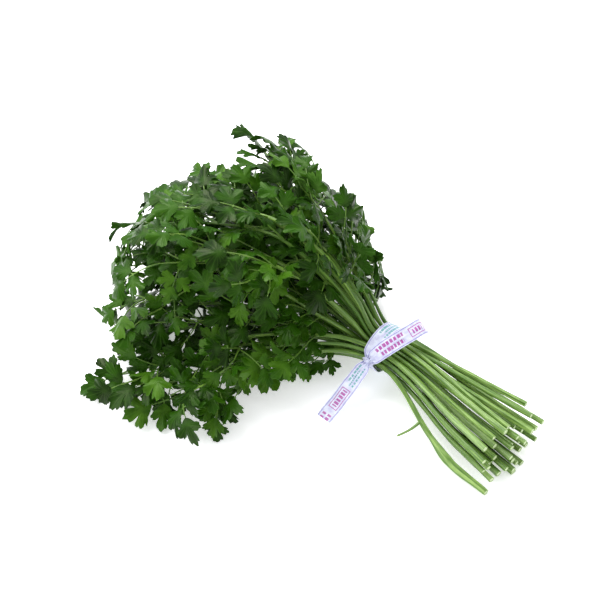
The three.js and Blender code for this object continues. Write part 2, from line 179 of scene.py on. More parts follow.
# Stalks.
STALK_LOWEST = 0.05
THIN_LOWEST = 0.1
ROUND_SIDES = 12
SHOOT_SIDES = 7
PETIOLE_SIDES = 6
OFF_UP = UP + np.array([0.01, 0.02, 0.0])  # so that an upright shoot has a side too
RIB_DEPTH = 0.07  # as a share of a stalk's radius
DISH_DEPTH = 0.35  # of a stalk's end, as a share of its radius
INNER_RING = 0.55  # where the inner ring of a dished end lies, and of a leaflet from its palm
STALK_SCALE = (0.82, 1.04)
ROOT_LENGTH = 9.0  # over which a spray leaves the smooth stalk for the CAD's place
PETIOLE_SINK = 0.25
PETIOLE_LAP = 0.1  # share of a leaflet that its stalk runs under
PETIOLE_RADII = (0.72, 0.36)
SIDE_PETIOLE_RADII = (0.5, 0.3)
STALK_STEP = 3.0

# Leaflets.
LEAF_THICKNESS = 0.32
TOOTH = 20.0  # degrees between a leaflet's teeth, seen from its palm
LAST_TOOTH = 4  # teeth on each side of the middle one
SINUS = 27.0  # degrees from the midrib to the deep cuts beside the middle lobe
SINUS_WIDTH = 5.0
NOTCH_DEPTH = (0.08, 0.16)  # as shares of the reach from the palm
SINUS_DEPTH = (0.22, 0.4)
PALM = 0.25  # where a leaflet's veins part, as a share of its length
MIDDLE_LOBE = 0.75
MIDDLE_RATE = 1.8  # how fast a lobe narrows away from its aim
SIDE_LOBE = 0.6
SIDE_LOBE_ANGLE = 55.0
SIDE_RATES = (2.0, 1.5)  # on its inner and outer side
FOOT_POINTS = 3  # on each side of a leaflet's wedge, below its last tooth
FOOT_HALF = 0.018
FOLD = (-0.15, 0.55)  # along the midrib
NOD = (-0.05, 0.35)  # of the tip
RUFFLES = ((3, 0.12, 0.42), (7, 0.03, 0.2))  # waves round the palm, least and most swing

# Sprays and side shoots that fill the fan.
EXTRA_SPACING = 11.0  # along a stalk, between the sprays that fill the fan
EXTRA_TRIES = 14
EXTRA_SCALE = (0.78, 1.06)
STRETCHES = (0, 0, 3, 7, 12)  # how much longer than the CAD's a spray's own stalk is
LOST_SIDES = (0, 0, 0, -1, 1)  # the side whose leaflet a spray lacks, or 0
PAIRED = 0.55  # share of the sites that have a spray on both sides
LATE_CROSSINGS = 3  # pairs of faces that may cross from half of the tries on
FLOOR_TRIES = 4  # only the last tries may lie on the floor
PRESSED_FROM = 60.0  # along a stalk: past here, leaves pressed on the floor may cross
PRESSED_CROSSINGS = 60
SHOOT_TRIES = 12
SHOOT_SPACING = 13.0  # along a stalk, between its side shoots
SHOOTS_ABOVE = 0.25  # how high in the bundle a stem lies to carry them, as a share
SKIRT_FROM = 38.0  # degrees: from here on the shoots spread low and outward
SHOOT_LENGTHS = (24.0, 48.0)
SKIRT_LENGTHS = (24.0, 56.0)
SWEEP_LENGTHS = (40.0, 66.0)  # on the upper stems of its near side, mostly bare
CROWN_LENGTHS = (14.0, 34.0)  # on the upper stems of the fan's far side
CROWN_BELOW = 8.0  # degrees
SWEEP_FROM = 14.0  # degrees
CROWN_ABOVE = 0.5  # share of the bundle's height
SHOOT_RADIUS = 0.75
SHOOT_TIP_RADIUS = 0.45
SHOOT_GREENER = 40.0  # a shoot has the colour of a stalk this much further out
SHOOT_TILT = (-75, 75)
SKIRT_TILT = (-112, -75)
SHOOT_SPREAD = (8, 58)
SHOOT_SAG = 0.25
SKIRT_SAG = 0.12
SHOOT_STARTS = (0.8, 1.1)  # shares of the distance from the tie where the leaves start
SWEEP_STARTS = (0.4, 0.6)
SHOOT_SPRAYS = ((1.0, 0), (0.62, 1), (0.55, -1))  # share of the shoot's length, and side
SHOOT_CLEARANCE = np.array([6.0, 6.0, 1.6])  # from the sides of the box round the bunch

# The bunch's outline as the camera sees it against the floor: direction, how far from the tie.
OUTLINE = (
    (-59, 60), (-58, 112), (-53, 140), (-50, 188), (-46, 212), (-41.5, 232), (-40.5, 275),
    (-39.5, 315), (-37, 290), (-34.5, 300), (-30.5, 305), (-28.5, 276), (-21.5, 266),
    (-17, 279), (-12, 275), (-5.5, 270), (1, 259), (6.5, 250), (18, 228), (21, 236),
    (26, 214), (31, 205), (36, 227), (38.5, 241), (43, 222), (47, 208), (50.5, 178),
    (60, 170), (66.5, 162), (68, 60),
)
# How near to the tie the leaves may lie in front, seen the same way.
INNER_EDGE = ((42, 0), (46, 80), (52, 97), (58, 120), (66, 128))
DEEPEST_PRESSED = 5.0  # how far the floor may bend an added leaf up
STRAYING = 0.08  # share of an added spray that may lie outside the outline
# Where the leaves start, from the tie, in each direction of the fan.
LEAFY_FROM = ((-50, 26), (-25, 26), (0, 40), (12, 80), (22, 135), (38, 125), (48, 80), (60, 60))
LOW_STEMS = 0.4  # stems below this share of the bundle's height are leafy from nearer the tie
LOW_LEAFY_FROM = 20.0
LOW_LEAVES_RISE = 9.0  # these nearer leaves stay below the stalks above them
ROOM_MARGIN = 4.0  # how far the leaves may pass the box round the solids
ROOM_RADIUS = 1.2  # of a stalk, where leaves are kept off it
SHOOT_DRAWS, EXTRA_DRAWS, LEAF_DRAWS = 800, 900, 5  # seeds, with the stem's number

# The tie.
PAPER_HALF = 0.13
WIRE_RIDGE = 0.4
BAND_WAVES = 0.4  # share of the loose ends' waves that the band keeps
KNOT_SHRUNK = 0.86  # so that the heart's folds stay near the solid's size
KNOT_OUT = 0.8


# ---- Small helpers ----


def mix(a, b, t):
    return (1 - t) * a + t * b


def clamp(value, low, high):
    return max(low, min(high, value))


def unit(v):
    return v / np.linalg.norm(v, axis=-1, keepdims=True)


def smoothstep(t):
    t = np.clip(t, 0, 1)
    return t * t * (3 - 2 * t)


def cos_sin(degrees):
    return math.cos(math.radians(degrees)), math.sin(math.radians(degrees))


def turned(v, axis, angle):
    """v turned about a unit axis by an angle in radians."""
    c, s = math.cos(angle), math.sin(angle)
    return v * c + np.cross(axis, v) * s + axis * (axis @ v) * (1 - c)


def draw(*keys):
    """The CAD's repeatable draw from 0 to 1 for a list of whole numbers."""
    h = 20261
    for key in keys:
        h = ((h ^ (key + 0x9E3779B9)) * 0x85EBCA6B) & 0xFFFFFFFF
        h ^= h >> 13
        h = (h * 0xC2B2AE35) & 0xFFFFFFFF
        h ^= h >> 16
    return h / 4294967296


def sway(half, *keys):
    return (2 * draw(*keys) - 1) * half


# ---- Where the CAD's rules put each stem ----


def fan_at(angle):
    """The fan's reach, near, peak, rim and lift in a direction."""
    following = next((k for k, row in enumerate(FAN) if row[0] >= angle), -1)
    k = clamp(following, 1, len(FAN) - 1)
    a, b = FAN[k - 1], FAN[k]
    t = clamp((angle - a[0]) / (b[0] - a[0]), 0, 1)
    names = ("reach", "near", "peak", "rim", "lift")
    return SimpleNamespace(**{name: mix(a[i], b[i], t) for i, name in enumerate(names, 1)})


def dome_height(fan, share):
    start = TIE[2] + PACK_HALF_HEIGHT + LEAF_DEPTH
    if share < 0.5:
        return mix(start, fan.peak, math.sin(share * math.pi))
    return mix(fan.peak, fan.rim, (2 * share - 1) ** 2)


def packed_places():
    places = []
    for row in range(-5, 6):
        for column in range(-7, 8):
            y = (column + 0.25 + (0.5 if row % 2 else 0)) * PACK_PITCH
            z = (row * PACK_PITCH * math.sqrt(3)) / 2
            places.append((math.hypot(y / PACK_ASPECT, z), y, z))
    places.sort(key=lambda place: place[0])
    return [(y, z) for _, y, z in places[:STEM_PLACES]]


def fan_point(stem, out):
    turned_share = ((1 + FAN_BEND / FAN_LENGTH) * out) / (out + FAN_BEND)
    heading = math.radians(stem.angle) * turned_share
    settled = min(out / SETTLED, 1)
    low = mix(TIE[2] - PACK_HALF_HEIGHT, LOW_STALKS, settled)
    top = dome_height(stem.fan, (out + LEAF_REACH * settled) / stem.fan.reach) - LEAF_DEPTH
    high = max(top, low + 12)
    return np.array(
        [
            TIE[0] - RIBBON_WIDTH / 2 - out * math.cos(heading),
            TIE[1] + stem.y - out * math.sin(heading),
            mix(low, high, stem.level ** mix(1, stem.fan.lift, settled**2)),
        ]
    )


def make_stem(place, index, attempt):
    """A stem as the CAD lays it on a try."""
    y, z = place
    stray = 1 - (SETTLING * attempt) / STEM_TRIES
    across = y / PACK_HALF_WIDTH
    level = clamp((z / PACK_HALF_HEIGHT + 1) / 2, 0, 1)
    angle = FAN_MIDDLE - across * FAN_HALF + sway(FAN_STRAY * stray, index, attempt, 1)
    fan = fan_at(angle)
    turn = (index * GOLDEN_TURN + FAN_TURN) % 1
    share = mix(mix(max(fan.near, LOW_SHARE), fan.near, level), 1, turn)
    length = share * fan.reach - LEAF_REACH
    leafy = index >= BARE_STEMS
    if not leafy:
        length *= BARE_SHARE
    stem = SimpleNamespace(index=index, y=y, level=level, angle=angle, fan=fan)
    stem.length, stem.leafy = length, leafy
    stem.bends = [bend for bend in STALK_BENDS if bend < length - LAST_BEND] + [length]
    stem.line = [fan_point(stem, bend) for bend in stem.bends]
    stem.foot = make_foot(stem, z, attempt, stray)
    return stem


def make_foot(stem, z, attempt, stray):
    """The (point, radius) rows of a stem from its cut end to the tie's edge."""
    index, y = stem.index, stem.y
    lowest = CUT_RADIUS * math.cos(math.pi / STALK_SIDES) - FLAT_DEPTH
    on_top = stem.level > TOP_LEVEL
    kinked = y / PACK_HALF_WIDTH < KINKED_FROM
    lift = 0 if kinked else (z + PACK_HALF_HEIGHT) * CUT_LIFT
    even_z = lowest + lift + (CUT_RADIUS if on_top else 0)
    tangle = (TOP_TANGLE if on_top else CUT_TANGLE) * stray
    cut_y = CUT_SWING + y * CUT_WIDENING + sway(tangle, index, attempt, 3)
    cut_z = max(even_z + sway(1, index, attempt, 4), lowest)
    bare = CUT_REACH - RIBBON_WIDTH / 2
    ragged = sway(CUT_RAGGED / 2, index, 2) / (bare * CUT_BEND)
    tie_edge = TIE + np.array([RIBBON_WIDTH / 2, y, z])
    even_cut = np.array([TIE[0] + CUT_REACH, TIE[1] + cut_y, cut_z])
    rest = mix(even_cut, tie_edge, CUT_BEND)
    rest[2] = mix(cut_z, tie_edge[2], REST_RISE * CUT_BEND)
    if kinked:
        rest[1] -= KINK_OUT
    cut = mix(rest, even_cut, 1 + ragged)
    rest_radius = mix(CUT_RADIUS, TIE_RADIUS, CUT_BEND)
    foot = [(cut, CUT_RADIUS), (rest, SHEATH_RADIUS if kinked else rest_radius)]
    if kinked:
        foot.append((mix(rest, tie_edge, SHEATH_STARTS), rest_radius))
    return foot + [(tie_edge, TIE_RADIUS)]


def stalk_at(stem, out):
    """The point on the CAD's stalk at a distance from the tie's edge, and its direction."""
    k = max(next(i for i, bend in enumerate(stem.bends) if bend >= out), 1)
    start, end = stem.line[k - 1], stem.line[k]
    t = (out - stem.bends[k - 1]) / (stem.bends[k] - stem.bends[k - 1])
    return mix(start, end, t), unit(end - start)


def spray_frame(stem, out, side, loose, keys):
    """A spray's origin, directions and arch, as the CAD turns it on a stalk."""
    origin, tangent = stalk_at(stem, out)
    normal = origin - FAN_CENTRE
    normal = unit(normal - tangent * (normal @ tangent))
    normal = turned(normal, tangent, sway(math.radians(SPRAY_ROLL) * loose, *keys, 3))
    spread = math.radians(SPRAY_SPREAD) * side
    spread += sway(math.radians(SPRAY_SWAY) * loose, *keys, 4) * (1 if side else 1.2)
    along = turned(tangent, normal, spread)
    pitch = sway(math.radians(SPRAY_SWAY) * loose, *keys, 5) + math.radians(SPRAY_PITCH)
    across = np.cross(normal, along)
    along = turned(along, across, -pitch)
    normal = turned(normal, across, -pitch)
    roll = sway(math.radians(BLADE_ROLL), *keys, 6)
    return SimpleNamespace(
        origin=origin,
        along=along,
        normal=turned(normal, along, roll),
        across=turned(across, along, roll),
        scale=mix(*SPRAY_SCALE, draw(*keys, 7)) * (0.94 if side else 1.06),
        droop=math.radians(mix(*SPRAY_DROOP, draw(*keys, 8))),
        cup=mix(*SPRAY_CUP, draw(*keys, 9)),
        stem=stem,
        out=out,
        side=side,
        stretch=0.0,
        lost=0,
    )


def cad_spray(stem, place_index, attempt):
    at, side = SPRAY_PLACES[place_index]
    keys = (stem.index, place_index, attempt)
    return spray_frame(stem, at * stem.length, side, min(1, 0.25 + attempt * 0.03), keys)


def arched(spray, u, v, w):
    """Points of a flat spray, in its own millimetres, arched as the CAD arches its blade."""
    length = (END_LEAFLET_AT + END_LEAFLET) * spray.scale
    turn = spray.droop * u / length
    bow = length / spray.droop
    lift = w - spray.cup * v * v / length
    return (
        spray.origin
        + np.multiply.outer(np.sin(turn) * (bow + lift), spray.along)
        + np.multiply.outer(np.cos(turn) * (bow + lift) - bow, spray.normal)
        + np.multiply.outer(v, spray.across)
    )


# ---- Which tries the CAD kept ----


def corners_of(node):
    """A search tree of a CAD node's corners, in millimetres."""
    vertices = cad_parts[node].data.vertices
    tree = KDTree(len(vertices))
    for k, vertex in enumerate(vertices):
        tree.insert(vertex.co / METRES, k)
    tree.balance()
    return tree


def holds(tree, points):
    """Whether a node has most of these corners."""
    seen = [p for p in points if p[2] > SEEN_ABOVE]
    found = sum(tree.find(Vector(p))[2] < MATCHED for p in seen)
    return len(seen) > 3 and found >= MOST * len(seen)


def ring_angles(sides):
    return 2 * np.pi * np.arange(sides) / sides


def ring_corners(before, at, after, radius):
    """The CAD's corners round a bend of a stalk."""
    along = unit(after - before)
    side = unit(np.cross(along, UP))
    top = np.cross(side, along)
    angle = ring_angles(STALK_SIDES)
    return at + radius * (np.outer(np.sin(angle), side) + np.outer(np.cos(angle), top))


def kept_stem(tree, place, index):
    for attempt in range(STEM_TRIES):
        stem = make_stem(place, index, attempt)
        points = [stem.foot[-1][0], *stem.line]
        rings = []
        for k in range(2, len(points) - 1):
            radius = mix(TIE_RADIUS, TIP_RADIUS, stem.bends[k - 1] / stem.length)
            rings.extend(ring_corners(points[k - 1], points[k], points[k + 1], radius))
        if holds(tree, rings[:10]):
            return stem
    return None


def kept_spray(tree, stem, place_index):
    """The spray that the CAD fused to a stem at one of its places, if it kept a try."""
    lobes = np.array([(0.48, -0.52), (0.6, -0.2), (0.97, -0.15), (0.97, 0.15), (0.6, 0.2)])
    for attempt in range(SPRAY_TRIES):
        spray = cad_spray(stem, place_index, attempt)
        u = (END_LEAFLET_AT + lobes[:, 0] * END_LEAFLET) * spray.scale
        v = lobes[:, 1] * END_LEAFLET * spray.scale
        faces = [arched(spray, u, v, w) for w in (-BLADE / 2, BLADE / 2)]
        if holds(tree, np.vstack(faces)):
            return spray
    return None


def read_bunch():
    """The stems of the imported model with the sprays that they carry."""
    stems = []
    for index, place in enumerate(packed_places()):
        node = f"stem_{index + 1:02d}"
        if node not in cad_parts:
            continue
        tree = corners_of(node)
        stem = kept_stem(tree, place, index)
        if stem is None:
            raise RuntimeError(f"{node} isn't where the layout puts it")
        stem.node, stem.sprays, stem.shoots = node, [], []
        if stem.leafy:
            found = [kept_spray(tree, stem, k) for k in range(len(SPRAY_PLACES))]
            stem.sprays = [spray for spray in found if spray]
        stems.append(stem)
    return stems


# ---- Meshes ----


class Gathered:
    """Triangles of one piece, with a material for each and named values at each point."""

    def __init__(self):
        self.points, self.faces, self.slots, self.values = [], [], [], {}
        self.count = 0

    def add(self, points, faces, slots, **values):
        self.points.append(points)
        self.faces.append(faces + self.count)
        self.slots.append(np.broadcast_to(slots, len(faces)))
        for name, value in values.items():
            shape = (len(points), 3) if np.ndim(value) == 2 else (len(points),)
            self.values.setdefault(name, []).append(np.broadcast_to(value, shape))
        self.count += len(points)

    def make(self, name, materials, sharp_degrees):
        points = np.vstack(self.points) * METRES
        faces = np.vstack(self.faces).astype(np.int32)
        mesh = bpy.data.meshes.new(name)
        mesh.vertices.add(len(points))
        mesh.vertices.foreach_set("co", points.astype(np.float32).ravel())
        mesh.loops.add(faces.size)
        mesh.loops.foreach_set("vertex_index", faces.ravel())
        mesh.polygons.add(len(faces))
        mesh.polygons.foreach_set("loop_start", np.arange(0, faces.size, 3, dtype=np.int32))
        slots = np.concatenate(self.slots).astype(np.int32)
        mesh.polygons.foreach_set("material_index", slots)
        for material in materials:
            mesh.materials.append(material)
        mesh.update(calc_edges=True)
        for key, parts in self.values.items():
            value = np.concatenate(parts).astype(np.float32)
            kind, field = ("FLOAT_VECTOR", "vector") if value.ndim == 2 else ("FLOAT", "value")
            mesh.attributes.new(key, kind, "POINT").data.foreach_set(field, value.ravel())
        mesh.shade_smooth()
        mesh.set_sharp_from_angle(angle=math.radians(sharp_degrees))
        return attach(link(name, mesh), "root")


def link(name, data):
    """A new object in the scene."""
    made = bpy.data.objects.new(name, data)
    bpy.context.scene.collection.objects.link(made)
    return made


def grid_faces(rows, columns, closed):
    """Triangles between rows of points. closed joins each row's end to its start."""
    last = columns if closed else columns - 1
    r, c = np.meshgrid(np.arange(rows - 1), np.arange(last), indexing="ij")
    a = (r * columns + c).ravel()
    b = (r * columns + (c + 1) % columns).ravel()
    return np.vstack([np.c_[a, b, b + columns], np.c_[a, b + columns, a + columns]])


def dish_faces(count):
    """Triangles between a ring of points, a ring inside it and a point in the middle."""
    inner = count + np.arange(count)
    after = count + (np.arange(count) + 1) % count
    return np.vstack([grid_faces(2, count, True), np.c_[inner, after, np.full(count, 2 * count)]])


def above(points, lowest):
    """Raises the points that lie below a height to it, and returns them all."""
    points[..., 2] = np.maximum(points[..., 2], lowest)
    return points


def run_along(points):
    """The distance along a line to each of its points."""
    steps = np.linalg.norm(np.diff(points, axis=0), axis=1)
    return np.concatenate([[0.0], np.cumsum(steps)])


def columns_at(x, known, points):
    """Points between known ones, each column for itself."""
    return np.array([np.interp(x, known, column) for column in points.T]).T


def smooth_line(knots, step):
    """A smooth curve through the knots, as points about a step apart with their knot number."""
    knots = np.array(knots)
    gaps = np.linalg.norm(np.diff(knots, axis=0), axis=1)
    slopes = np.diff(knots, axis=0) / gaps[:, None]
    tangents = np.empty_like(knots)
    tangents[0], tangents[-1] = slopes[0], slopes[-1]
    share = (gaps[:-1] / (gaps[:-1] + gaps[1:]))[:, None]
    tangents[1:-1] = mix(slopes[:-1], slopes[1:], share)
    points, numbers = [], []
    for k, gap in enumerate(gaps):
        count = max(2, round(gap / step))
        t = np.arange(count) / count
        if k == len(gaps) - 1:
            t = np.append(t, 1.0)
        t2, t3 = t * t, t * t * t
        points.append(
            np.outer(2 * t3 - 3 * t2 + 1, knots[k])
            + np.outer(t3 - 2 * t2 + t, tangents[k] * gap)
            + np.outer(3 * t2 - 2 * t3, knots[k + 1])
            + np.outer(t3 - t2, tangents[k + 1] * gap)
        )
        numbers.append(k + t)
    return np.vstack(points), np.concatenate(numbers)


# ---- Stalks ----


def headings(points):
    """The unit direction of a line at each of its points."""
    return unit(np.gradient(points, axis=0))


def rings_round(points, radii, sides, swell=1.0, upright=UP):
    """Rings of corners round a line. swell is each corner's share of the radius."""
    along = headings(points)
    side = unit(np.cross(along, upright))
    top = np.cross(side, along)
    angle = ring_angles(sides)
    x, y = (np.sin(angle) * swell)[:, None], (np.cos(angle) * swell)[:, None]
    return points[:, None] + radii[:, None, None] * (x * side[:, None] + y * top[:, None])


def add_skin(gathered, rings, x, y, lengths, shade):
    """Joins rings into a skin whose points know their place round and along the stalk."""
    place = np.empty(rings.shape)
    place[..., 0], place[..., 1], place[..., 2] = x, y, lengths[:, None]
    faces = grid_faces(*rings.shape[:2], True)[:, ::-1]
    gathered.add(rings.reshape(-1, 3), faces, 0, stalk_at=place.reshape(-1, 3), shade=shade)


def ribbed_tube(gathered, points, radii, lengths, shade, ribs):
    """A ribbed stalk through the points. Its first end is a pale cut face."""
    angle = ring_angles(ROUND_SIDES)
    rib = 1 + RIB_DEPTH * np.cos(ribs * angle + 7 * shade)
    rings = above(rings_round(points, radii, ROUND_SIDES, rib), STALK_LOWEST)
    add_skin(gathered, rings, np.sin(angle), np.cos(angle), lengths, shade)
    along = headings(points)
    for end, sign, slot in ((0, 1, 1), (-1, -1, 0)):
        sunk = points[end] + along[end] * sign * DISH_DEPTH * radii[end]
        cap = np.vstack([rings[end], mix(rings[end], sunk, INNER_RING), sunk[None]])
        depth = np.repeat([0.0, 0.5, 1.0], [ROUND_SIDES, ROUND_SIDES, 1])
        faces = dish_faces(ROUND_SIDES)[:, ::sign]
        gathered.add(cap, faces, slot, stalk_at=np.c_[cap[:, :2], depth], shade=shade)


def build_stalk(gathered, stem):
    """The stem's own stalk, from its cut end to its tip."""
    knots = [point for point, _ in stem.foot] + stem.line
    radii = [radius for _, radius in stem.foot]
    radii += [mix(TIE_RADIUS, TIP_RADIUS, bend / stem.length) for bend in stem.bends]
    points, numbers = smooth_line(knots, STALK_STEP)
    radius = np.interp(numbers, np.arange(len(radii)), radii)
    run = [-np.linalg.norm(p - stem.foot[-1][0]) - RIBBON_WIDTH for p, _ in stem.foot]
    lengths = np.interp(numbers, np.arange(len(knots)), run + list(stem.bends))
    stem.curve = (points, numbers - len(stem.foot))
    shade = draw(stem.index, 71)
    radius *= mix(*STALK_SCALE, draw(stem.index, 70))
    radius *= 1 + 0.05 * np.sin(lengths * 0.11 + 9 * shade) + 0.03 * np.sin(lengths * 0.31)
    ribbed_tube(gathered, points, radius, lengths, shade, 5 + stem.index % 3)


def build_shoot(gathered, shoot):
    """A side shoot's plain thin stalk."""
    points, numbers = shoot.curve
    share = numbers / numbers[-1]
    radii = mix(SHOOT_RADIUS, SHOOT_TIP_RADIUS, share)
    rings = rings_round(points, radii, SHOOT_SIDES, upright=OFF_UP)
    angle = ring_angles(SHOOT_SIDES)
    lengths = shoot.out + SHOOT_GREENER + share * shoot.length
    shade = draw(shoot.index, 72)
    add_skin(gathered, above(rings, THIN_LOWEST), np.sin(angle), np.cos(angle), lengths, shade)


def build_stray(gathered, outermost):
    """The thin stray stalk that leaves the outermost stem's foot."""
    root = mix(outermost.foot[-1][0], outermost.foot[1][0], STRAY_AT)
    t = np.linspace(0, 1, 8)
    points = root + np.outer(t, STRAY_REACH)
    points[:, 0] += 1.2 * np.sin(t * np.pi)
    radii = mix(1.15, 0.8, t) * STRAY_RADIUS
    ribbed_tube(gathered, points[::-1], radii[::-1], -60 - 20 * t, 0.4, 4)


def smooth_offset(stem, out):
    """How far the smooth stalk runs beside its straight chords at a distance."""
    points, numbers = stem.curve
    number = np.interp(out, stem.bends, np.arange(len(stem.bends)))
    return columns_at(number, numbers, points) - stalk_at(stem, out)[0]


def on_stalk(spray, u, v, w):
    """As arched(), with the spray's root brought onto the smooth stalk."""
    loosened = 1 - smoothstep(u / ROOT_LENGTH)
    return arched(spray, u, v, w) + np.multiply.outer(loosened, spray.shift)


def petiole(gathered, spray, path, radii, shade):
    """A leaf's thin stalk along a path of flat (u, v) points."""
    along = headings(path)
    angle = ring_angles(PETIOLE_SIDES)
    x, y = np.cos(angle), np.sin(angle)
    reach = np.outer(radii, x)
    u = path[:, 0, None] - reach * along[:, 1, None]
    v = path[:, 1, None] + reach * along[:, 0, None]
    w = np.outer(radii, y) - PETIOLE_SINK
    rings = above(on_stalk(spray, u, v, w), THIN_LOWEST)
    add_skin(gathered, rings, x, y, spray.out + path[:, 0], shade)


# ---- Leaves ----


def outline_angles():
    """Directions of a leaflet's outline points from its palm, with each point's depth in a
    notch: 1 at its bottom and 0 on a tooth."""
    angles, notches = [], []
    for tooth in range(-LAST_TOOTH, LAST_TOOTH + 1):
        start = (tooth - 0.5) * TOOTH
        angles += [start, start + 0.26 * TOOTH, start + 0.5 * TOOTH, start + 0.74 * TOOTH]
        notches += [1, 0.12, 0, 0.12]
    angles.append((LAST_TOOTH + 0.5) * TOOTH)
    notches.append(1)
    return np.array(angles), np.array(notches, float)


OUTLINE_ANGLES, NOTCHES = outline_angles()


def lobe(reach, rate, degrees):
    """How far a lobe reaches from the palm at angles off its aim."""
    return reach * np.cos(np.radians(np.clip(rate * degrees, -89, 89)))


def leaflet_outline(rng):
    """A toothed, three-lobed outline of unit length, with its foot at the origin."""
    angle = OUTLINE_ANGLES + rng.normal(0, 0.8, len(OUTLINE_ANGLES))
    reach = lobe(MIDDLE_LOBE * rng.uniform(0.94, 1.05), MIDDLE_RATE, angle)
    for sign in (-1, 1):
        length = SIDE_LOBE * rng.uniform(0.86, 1.1)
        off = sign * angle - (SIDE_LOBE_ANGLE + rng.uniform(-5, 5))
        side = lobe(length, np.where(off < 0, *SIDE_RATES), off)
        reach = np.where(sign * angle > 0, np.maximum(reach, side), reach)
    sinus = np.exp(-(((np.abs(OUTLINE_ANGLES) - SINUS) / SINUS_WIDTH) ** 2))
    depth = rng.uniform(*NOTCH_DEPTH) + rng.uniform(*SINUS_DEPTH) * sinus
    reach = reach * (1 - depth * NOTCHES) * (1 + rng.normal(0, 0.03, len(angle)))
    x = PALM + reach * np.cos(np.radians(angle))
    y = reach * np.sin(np.radians(angle))
    t = (np.arange(FOOT_POINTS) + 1) / (FOOT_POINTS + 1)
    bulge = 0.02 * np.sin(np.pi * t)
    start = np.c_[mix(0.0, x[0], t) - bulge, mix(-FOOT_HALF, y[0], t) - bulge]
    end = np.c_[mix(x[-1], 0.0, t) - bulge, mix(y[-1], FOOT_HALF, t) + bulge]
    return np.vstack([[0.0, 0.0], start, np.c_[x, y], end])


def leaflet_faces(count):
    """Triangles of a closed leaflet: its two faces and its rim. Also their slots."""
    top = dish_faces(count)
    low = 2 * count + 1
    ring = np.arange(count)
    after = (ring + 1) % count
    rim = np.vstack([np.c_[ring, low + ring, low + after], np.c_[ring, low + after, after]])
    slots = np.repeat([0, 1], [len(top), len(top) + len(rim)])
    return np.vstack([top, top[:, ::-1] + low, rim]), slots


POINTS = len(OUTLINE_ANGLES) + 2 * FOOT_POINTS + 1
SHEET_COUNT = 2 * POINTS + 1
SHEET_FACES = dish_faces(POINTS)
LEAFLET_FACES, LEAFLET_SLOTS = leaflet_faces(POINTS)


def leaflet_sheet(rng, length):
    """A leaflet's flat unit places, and their heights in millimetres."""
    rim = leaflet_outline(rng)
    palm = np.array([PALM, 0.0])
    flat = np.vstack([rim, mix(palm, rim, INNER_RING), palm[None]])
    away = flat - palm
    angle = np.arctan2(away[:, 1], away[:, 0])
    out = np.linalg.norm(away, axis=1)
    height = -rng.uniform(*FOLD) * (np.hypot(flat[:, 1], 0.03) - 0.03)
    height -= rng.uniform(*NOD) * np.maximum(flat[:, 0] - 0.2, 0) ** 2
    for waves, least, most in RUFFLES:
        swing = rng.uniform(least, most)
        height += swing * out**2 * np.sin(waves * angle + rng.uniform(0, 6.3))
    height *= smoothstep(flat[:, 0] / 0.15)
    return flat, height * length


def leaflet(rng, foot, aim, length):
    """A leaflet's sheet of points in its spray's frame, from its foot along its aim."""
    flat, height = leaflet_sheet(rng, length)
    wide = rng.uniform(0.88, 1.06)
    x, y = flat[:, 0] * length, flat[:, 1] * length * wide
    c, s = cos_sin(aim)
    u, v = foot[0] + x * c - y * s, foot[1] + x * s + y * c
    return SimpleNamespace(flat=flat, u=u, v=v, height=height, length=length)


def lay_spray(spray, rng):
    """Lays out a spray's sheets and petioles, in its flat frame."""
    scale = spray.scale
    spray.shift = smooth_offset(spray.stem, spray.out)
    fork = END_LEAFLET_AT * scale + spray.stretch
    side_at = SIDE_LEAFLETS_AT * scale + spray.stretch
    bow = rng.uniform(-0.6, 0.6)
    u = np.linspace(-0.6, fork + PETIOLE_LAP * END_LEAFLET * scale, 9)
    v = bow * np.sin(np.pi * np.clip(u / fork, 0, 1))
    spray.petioles = [(np.c_[u, v], np.linspace(*PETIOLE_RADII, 9) * scale**0.5)]
    spray.sheets = [leaflet(rng, (fork, 0), rng.uniform(-7, 7), END_LEAFLET * scale)]
    for side in (-1, 1):
        if spray.lost == side:
            continue
        aim = side * (SIDE_LEAFLET_ANGLE + rng.uniform(-9, 6))
        c, s = cos_sin(aim)
        stalk = rng.uniform(0.6, 2.2) * scale
        foot = (side_at + stalk * c, side * SPRAY_STALK * 0.5 + stalk * s)
        length = SIDE_LEAFLET * scale * rng.uniform(0.94, 1.04)
        spray.sheets.append(leaflet(rng, foot, aim, length))
        t = np.linspace(-0.15, 1, 4)[:, None]
        path = np.array([side_at, 0.0]) + t * (stalk + PETIOLE_LAP * length) * np.array([c, s])
        spray.petioles.append((path, np.linspace(*SIDE_PETIOLE_RADII, 4) * scale**0.5))


def sheet_points(spray, sheet, w):
    """A sheet's points in place, w above its middle and never under the floor."""
    points = on_stalk(spray, sheet.u, sheet.v, sheet.height + w)
    return above(points, FLOOR_CLEARANCE + math.copysign(w, w * spray.normal[2]))


def sinks(spray):
    """Whether a laid spray's leaves would lie far below the floor if nothing held them up."""
    heights = [on_stalk(spray, each.u, each.v, each.height)[:, 2].min() for each in spray.sheets]
    return min(heights) < -DEEPEST_PRESSED


def build_spray(leaves, stalks, spray, rng):
    """Adds a laid spray's leaflets and petioles to its stem's two pieces."""
    half = LEAF_THICKNESS / 2
    tone = rng.uniform(0, 1)
    for sheet in spray.sheets:
        top, bottom = sheet_points(spray, sheet, half), sheet_points(spray, sheet, -half)
        place = np.c_[sheet.flat, np.full(SHEET_COUNT, sheet.length)]
        leaves.add(
            np.vstack([top, bottom]),
            LEAFLET_FACES,
            LEAFLET_SLOTS,
            leaf_at=np.vstack([place, place]),
            shade=clamp(tone + rng.normal(0, 0.12), 0, 1),
        )
    for path, radii in spray.petioles:
        petiole(stalks, spray, path, radii, tone)


# ---- The camera ----

